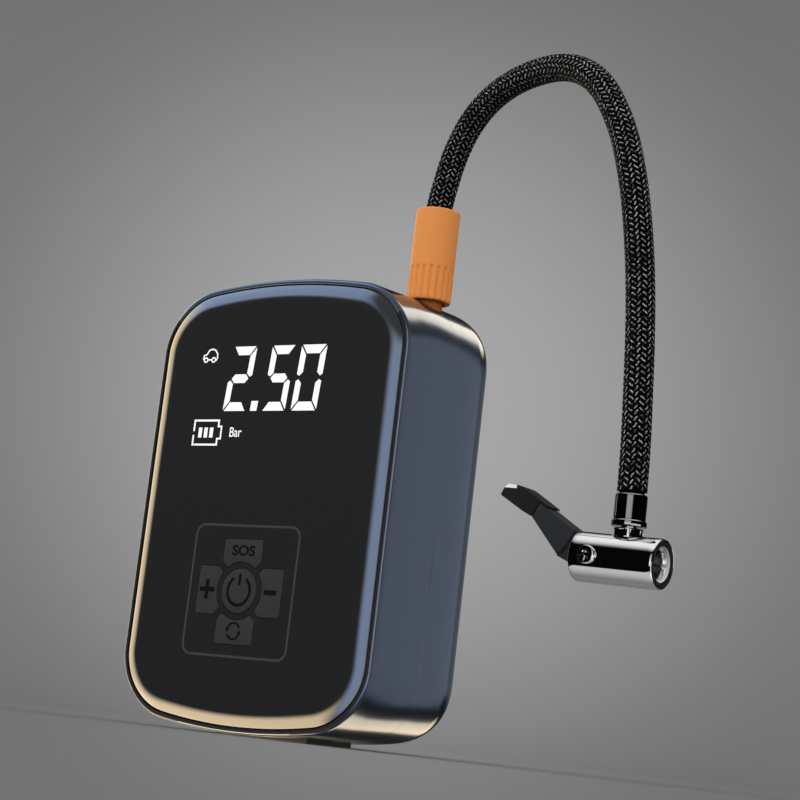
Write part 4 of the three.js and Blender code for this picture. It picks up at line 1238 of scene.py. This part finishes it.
build_barrel()
build_seal()
build_jaws()
build_pin()

# ---------------------------------------------------------------- lever
# Outlines are (x, z) from the pivot.
LEVER_HALF_W, TONGUE_HALF_W, ROOT_HALF_W = 3.6, 1.6, 2.1
ARM_OUTLINE = [(-10.9, -0.5), (-20.1, 8.85), (-18.25, 12.8), (-15.9, 11.5), (-6.6, 6.35),
               (-8.7, 2.6)]
ARM_RADII = [0.25, 0.1, 0.1, 0.3, 0.3, 0.3]
ROOT_OUTLINE = [(-4, -2.4), (-8.3, -2), (-11.6, -0.7), (-14, 4), (-8.5, 7.4), (-5.5, 6),
                (0, 4.6)]
TONGUE_OUTLINE = [(-17.6, 10.4), (-27, 15), (-26.6, 15.9), (-17.6, 12)]
CAP_OUTLINE = [(-20.4, 9.05), (-23.5, 10.3), (-31, 14.2), (-29.6, 17.5), (-25.6, 17.2),
               (-24.2, 16.8), (-15.9, 12.3), (-15.9, 11.8), (-18.4, 13.15)]
CAP_RADII = [0.1, 0.3, 0.35, 0.45, 0.3, 0.25, 0.12, 0.05, 0.1]
CAP_BORE = [(-17.2, 9.9), (-17.2, 12.3), (-26.5, 16.25), (-27.4, 14.9)]
CAP_GROOVE = ((-23.2, 10.5), (-22.0, 13.2))              # ends of the fine line on each side


def lever_slab(outline, y0, y1):
    return prism("y", [(x + PIVOT, z) for x, z in outline], y0, y1)


def lever_piece(name, outline, radii, edge):
    rounded = fillet([(x + PIVOT, z) for x, z in outline], radii, 4)
    piece = mesh_object(name, prism("y", rounded, -LEVER_HALF_W, LEVER_HALF_W), "lever_black")
    bevel(piece, edge, segments=2, angle=35, sharp=40)
    return piece


def build_arm():
    """A tapering arm with a root round the pin and a tongue that carries the cap."""
    arm = lever_piece("lever_arm", ARM_OUTLINE, ARM_RADII, edge=0.18)
    root = lever_slab(ROOT_OUTLINE, -ROOT_HALF_W, ROOT_HALF_W)
    disc = cylinder("y", 4.7, -ROOT_HALF_W, ROOT_HALF_W, (PIVOT, 0), 64)
    tongue = lever_slab(TONGUE_OUTLINE, -TONGUE_HALF_W, TONGUE_HALF_W)
    cut_with(arm, [mesh_object("lever_root", root, "lever_black"),
                   mesh_object("lever_disc", disc, "lever_black"),
                   mesh_object("lever_tongue", tongue, "lever_black")], operation="UNION")
    cut_with(arm, [cutter(cylinder("y", 1.75, -9, 9, (PIVOT, 0), 40))])
    finish_chuck(arm, "lever", "lever_black", "chuck_lever")


def groove_slab(y0, y1, half_width=0.09):
    start, end = np.array(CAP_GROOVE, float)
    along = end - start
    along /= np.linalg.norm(along)
    side = np.array([-along[1], along[0]]) * half_width
    return lever_slab([start - side, end - side, end + side, start + side], y0, y1)


def build_cap():
    """The stepped cap on the thumb end, with a bevel at one corner painted pale as a painted highlight."""
    cap = lever_piece("lever_thumb_end", CAP_OUTLINE, CAP_RADII, edge=0.2)
    cut_with(cap, [cutter(lever_slab(CAP_BORE, -1.9, 1.9)),
                   cutter(groove_slab(-3.75, -3.48)), cutter(groove_slab(3.48, 3.75))])
    wedge = [(-3.8, 17.9), (-3.8, 16.1), (-2.0, 17.9)]   # y, z
    vertices = [(PIVOT + x, y, z) for x in (-31.5, -26.2) for y, z in wedge]
    faces = [(0, 1, 2), (3, 5, 4), (0, 3, 4, 1), (1, 4, 5, 2), (2, 5, 3, 0)]
    cut_with(cap, [cutter((vertices, faces))])
    cap.data.materials[0] = MATS["lever_cap_black"]
    second_material(cap, "painted_highlight_pale")
    # faces turned up and towards the front near the tip carry the painted highlight
    for face in cap.data.polygons:
        glint_face = (face.normal.z > 0.5 and face.normal.y < -0.4
                  and face.center.x < (PIVOT - 26) * MM)
        face.material_index = 1 if glint_face else 0
    finish_chuck(cap, "lever", "lever_black", "lever_cap")


build_arm()
build_cap()

# ---------------------------------------------------------------- camera position (metres)
EYE = (0.391539, -0.481983, 0.002811 + BASE_Z * MM)
RIGHT = (0.80593717, 0.5809404, 0.11390135)
UP = (0.00839872, -0.20360143, 0.97901783)
AHEAD = (-0.59194149, 0.78807024, 0.16896912)

# ---------------------------------------------------------------- floor and backdrop (metres)
BACKDROP_TOP, HALF_WIDTH = 7.0, 9.0
SWEEP_START, SWEEP_R = 2.0, 2.2
FLOOR_X, FLOOR_Y = -0.6006, 0.7995   # direction of the backdrop, away from the camera
FLOOR_GAIN, BACK_GAIN = 1.0, 1.0     # light on the floor and high on the backdrop
POOL_INNER, POOL_OUTER = 0.030, 0.262   # edge of the painted pool of light, as offset over distance
# painted light: tone inside the pool and at its darker edge
LIT_POOL_TONE, DIM_EDGE_TONE = 0.362, 0.178


def shade_floor(tree, bsdf):
    """A soft painted pool of light on the backdrop, centred on the camera's view, darker towards its edges."""
    coords = tree.nodes.new("ShaderNodeTexCoord")
    offset = tree.nodes.new("ShaderNodeVectorMath")
    offset.operation = "SUBTRACT"
    offset.inputs[1].default_value = EYE
    tree.links.new(coords.outputs["Object"], offset.inputs[0])

    def along(direction):
        node = tree.nodes.new("ShaderNodeVectorMath")
        node.operation = "DOT_PRODUCT"
        node.inputs[1].default_value = direction
        tree.links.new(offset.outputs[0], node.inputs[0])
        return Value(tree, node.outputs["Value"])

    right, up, ahead = along(RIGHT), along(UP), calc("MAXIMUM", along(AHEAD), 0.05)
    spread = calc("DIVIDE", calc("SQRT", right * right + up * up), ahead)
    height = axes_of(tree, coords.outputs["Object"])[2]
    tone = calc("DIVIDE", ramp(spread, POOL_INNER, POOL_OUTER, LIT_POOL_TONE, DIM_EDGE_TONE),
                ramp(height, 0.0, 2.0, FLOOR_GAIN, BACK_GAIN))
    tree.links.new(grey(tone).socket, bsdf.inputs["Base Color"])


def build_floor():
    """A floor that sweeps up into a backdrop."""
    tree, bsdf = make_material("studio_floor", color=(0.36, 0.36, 0.36), rough=1.0, spec=0.0)
    profile = [(-6.0, 0.0), (-3.0, 0.0), (0.0, 0.0), (1.2, 0.0), (SWEEP_START, 0.0)]
    profile += [(SWEEP_START + SWEEP_R * math.sin(t), SWEEP_R - SWEEP_R * math.cos(t))
                for t in np.linspace(0.06, math.pi / 2, 26)]
    profile.append((SWEEP_START + SWEEP_R, BACKDROP_TOP))
    vertices = [(FLOOR_X * out + FLOOR_Y * side, FLOOR_Y * out - FLOOR_X * side, height)
                for out, height in profile for side in (-HALF_WIDTH, HALF_WIDTH)]
    faces = [(2 * i, 2 * i + 1, 2 * i + 3, 2 * i + 2) for i in range(len(profile) - 1)]
    mesh = bpy.data.meshes.new("studio_sweep")
    mesh.from_pydata(vertices, [], faces)
    shade(mesh)
    floor = link_object("studio_sweep", mesh, MATS["studio_floor"])
    floor.visible_glossy = False
    shade_floor(tree, bsdf)


build_floor()

# ---------------------------------------------------------------- camera
scene = bpy.context.scene
lens_data = bpy.data.cameras.new("camera")
lens_data.sensor_width = 36.0
lens_data.lens = 89.53
lens_data.clip_start = 0.01
camera = bpy.data.objects.new("camera", lens_data)
backward = [-c for c in AHEAD]
camera.matrix_world = Matrix((*zip(RIGHT, UP, backward, EYE), (0, 0, 0, 1)))
COL.objects.link(camera)
scene.camera = camera

# ---------------------------------------------------------------- world
# A dome gives soft light to matt surfaces, and soft boxes show only in polished ones.
# Angles are in degrees; X, Y and Z are the parts of the direction looked in.
world = bpy.data.worlds.new("studio")
world.use_nodes = True
scene.world = world
sky = world.node_tree
X, Y, Z = axes_of(sky, sky.nodes.new("ShaderNodeTexCoord").outputs["Generated"])
DEG = 180 / math.pi
AZIMUTH = calc("ARCTAN2", Y, X) * DEG                    # -90 is out of the display, 0 right
LEFT_AZIMUTH = calc("ARCTAN2", Y * -1.0, X * -1.0) * DEG   # 0 is left, + towards the display
ELEVATION = calc("ARCSINE", calc("MINIMUM", calc("MAXIMUM", Z, -1.0), 1.0)) * DEG
BACK_HALF = ramp(Y, 0.35, 0.55)
WARM, CREAM = (1.0, 0.85, 0.66), (1.0, 0.78, 0.50)
BLUE, SLATE = (0.50, 0.66, 1.0), (0.90, 0.92, 1.0)


def tint(colour, gain):
    return tuple(c * gain for c in colour)


def matt_light():
    """An even dome, stronger from above and from the front."""
    lobe = calc("MAXIMUM", X * 0.16 + Y * -0.89 + Z * 0.42, 0.0)
    return grey(ramp(Z, -0.5, 0.6, before=0.52, after=0.78) + lobe * 0.85)


def gloss_light():
    """What satin and gloss surfaces see: soft boxes over a dark grey room."""
    room = (0.16, 0.17, 0.19)
    # two slate panels on the right, towards the back
    light = blend_colour(room, tint(SLATE, 0.40), band(AZIMUTH, 15, 72, fade=20)
                         * ramp(ELEVATION, 30, 22) * ramp(ELEVATION, -32, -20))
    light = blend_colour(light, tint(SLATE, 0.60), band(AZIMUTH, 57, 66, fade=16, fade_high=12)
                         * ramp(ELEVATION, 30, 22) * ramp(ELEVATION, -32, -20))
    # the back corners of the case: two warm soft boxes with dark around them
    above, below = ramp(Z, 0.16, 0.30), ramp(Z, -0.02, -0.16)
    light = blend_colour(light, (0.016, 0.016, 0.018),
                         BACK_HALF * ramp(X, 0.52, 0.42) * calc("MAXIMUM", above, below))
    light = blend_colour(light, tint(WARM, 3.3), BACK_HALF
                         * band(X, -0.13, 0.25, fade=0.09, fade_high=0.14)
                         * ramp(Z, 0.30, 0.42))
    light = blend_colour(light, tint(CREAM, 3.2), BACK_HALF
                         * band(X, -0.24, 0.15, fade=0.08, fade_high=0.10)
                         * ramp(Z, -0.34, -0.44))
    # dark in front of the display, brighter upwards
    front = band(AZIMUTH, -175, -60, fade=20) * band(ELEVATION, -12, 20, fade=10)
    light = blend_colour(light, grey(ramp(ELEVATION, 0.0, 14.0, before=0.055, after=0.38)),
                         front)
    # blue boxes in front and high on the front left
    light = blend_colour(light, tint(BLUE, 2.6), band(AZIMUTH, -107, -58, fade=22)
                         * band(ELEVATION, -38, 19, fade=24, fade_high=14))
    light = blend_colour(light, tint(BLUE, 2.3),
                         band(AZIMUTH, -179.9, -124, fade=0.1, fade_high=14)
                         * band(ELEVATION, 18, 62, fade=9, fade_high=14))
    # warm box on the front right
    light = blend_colour(light, tint(WARM, 1.5), band(AZIMUTH, -40, -6, fade=12)
                         * band(ELEVATION, -35, 40, fade=16))
    # cream boxes on the left, level and low
    light = blend_colour(light, tint(CREAM, 2.9),
                         band(LEFT_AZIMUTH, -48, 30, fade=14, fade_high=18)
                         * band(ELEVATION, -16, 27, fade=8, fade_high=16))
    low_left = calc("MAXIMUM", band(AZIMUTH, -181, -112, fade=0.1, fade_high=24),
                    band(LEFT_AZIMUTH, -20, 40, fade=20, fade_high=10))
    light = blend_colour(light, tint(CREAM, 5.0), low_left
                         * band(ELEVATION, -62, -14, fade=14, fade_high=15))
    # grey straight overhead
    return blend_colour(light, (0.5, 0.5, 0.5), ramp(Z, 0.84, 0.93))


def mirror_light():
    """What mirror chrome sees: a black room with a few plain panels."""
    overhead = ramp(Z, 0.66, 0.92, before=0.0, after=0.92)
    behind = (BACK_HALF * band(Z, -0.64, 0.52, fade=0.25, fade_high=0.10)
              * ramp(X, 0.1, -0.1) * 0.20)
    low_right = band(AZIMUTH, -48, 20, fade=8) * band(ELEVATION, -62, 0, fade=6) * 0.9
    strip = (band(AZIMUTH, -90, -50, fade=7, fade_high=12)
             * band(ELEVATION, -16, 30, fade=6, fade_high=20)
             * ramp(ELEVATION, 22, -4, before=0.55, after=1.0) * 0.95)
    table = ramp(Z, -0.625, -0.655) * ramp(Y, -0.55, 0.25, before=0.54, after=0.20)
    floor_level = 0.002              # the room is not quite black
    return grey(overhead + behind + strip + table + low_right + floor_level)


light_path = sky.nodes.new("ShaderNodeLightPath")
light = matt_light()
for ray, seen in (("Is Glossy Ray", gloss_light()), ("Is Singular Ray", mirror_light()),
                  ("Is Camera Ray", (0.29, 0.29, 0.29))):
    light = blend_colour(light, seen, Value(sky, light_path.outputs[ray]))
background = sky.nodes["Background"]
sky.links.new(light.socket, background.inputs[0])
background.inputs[1].default_value = 1.0
world.cycles.sampling_method = "NONE"
scene.view_settings.view_transform = "Standard"
scene.view_settings.look = "None"
scene.view_settings.exposure = 0.0
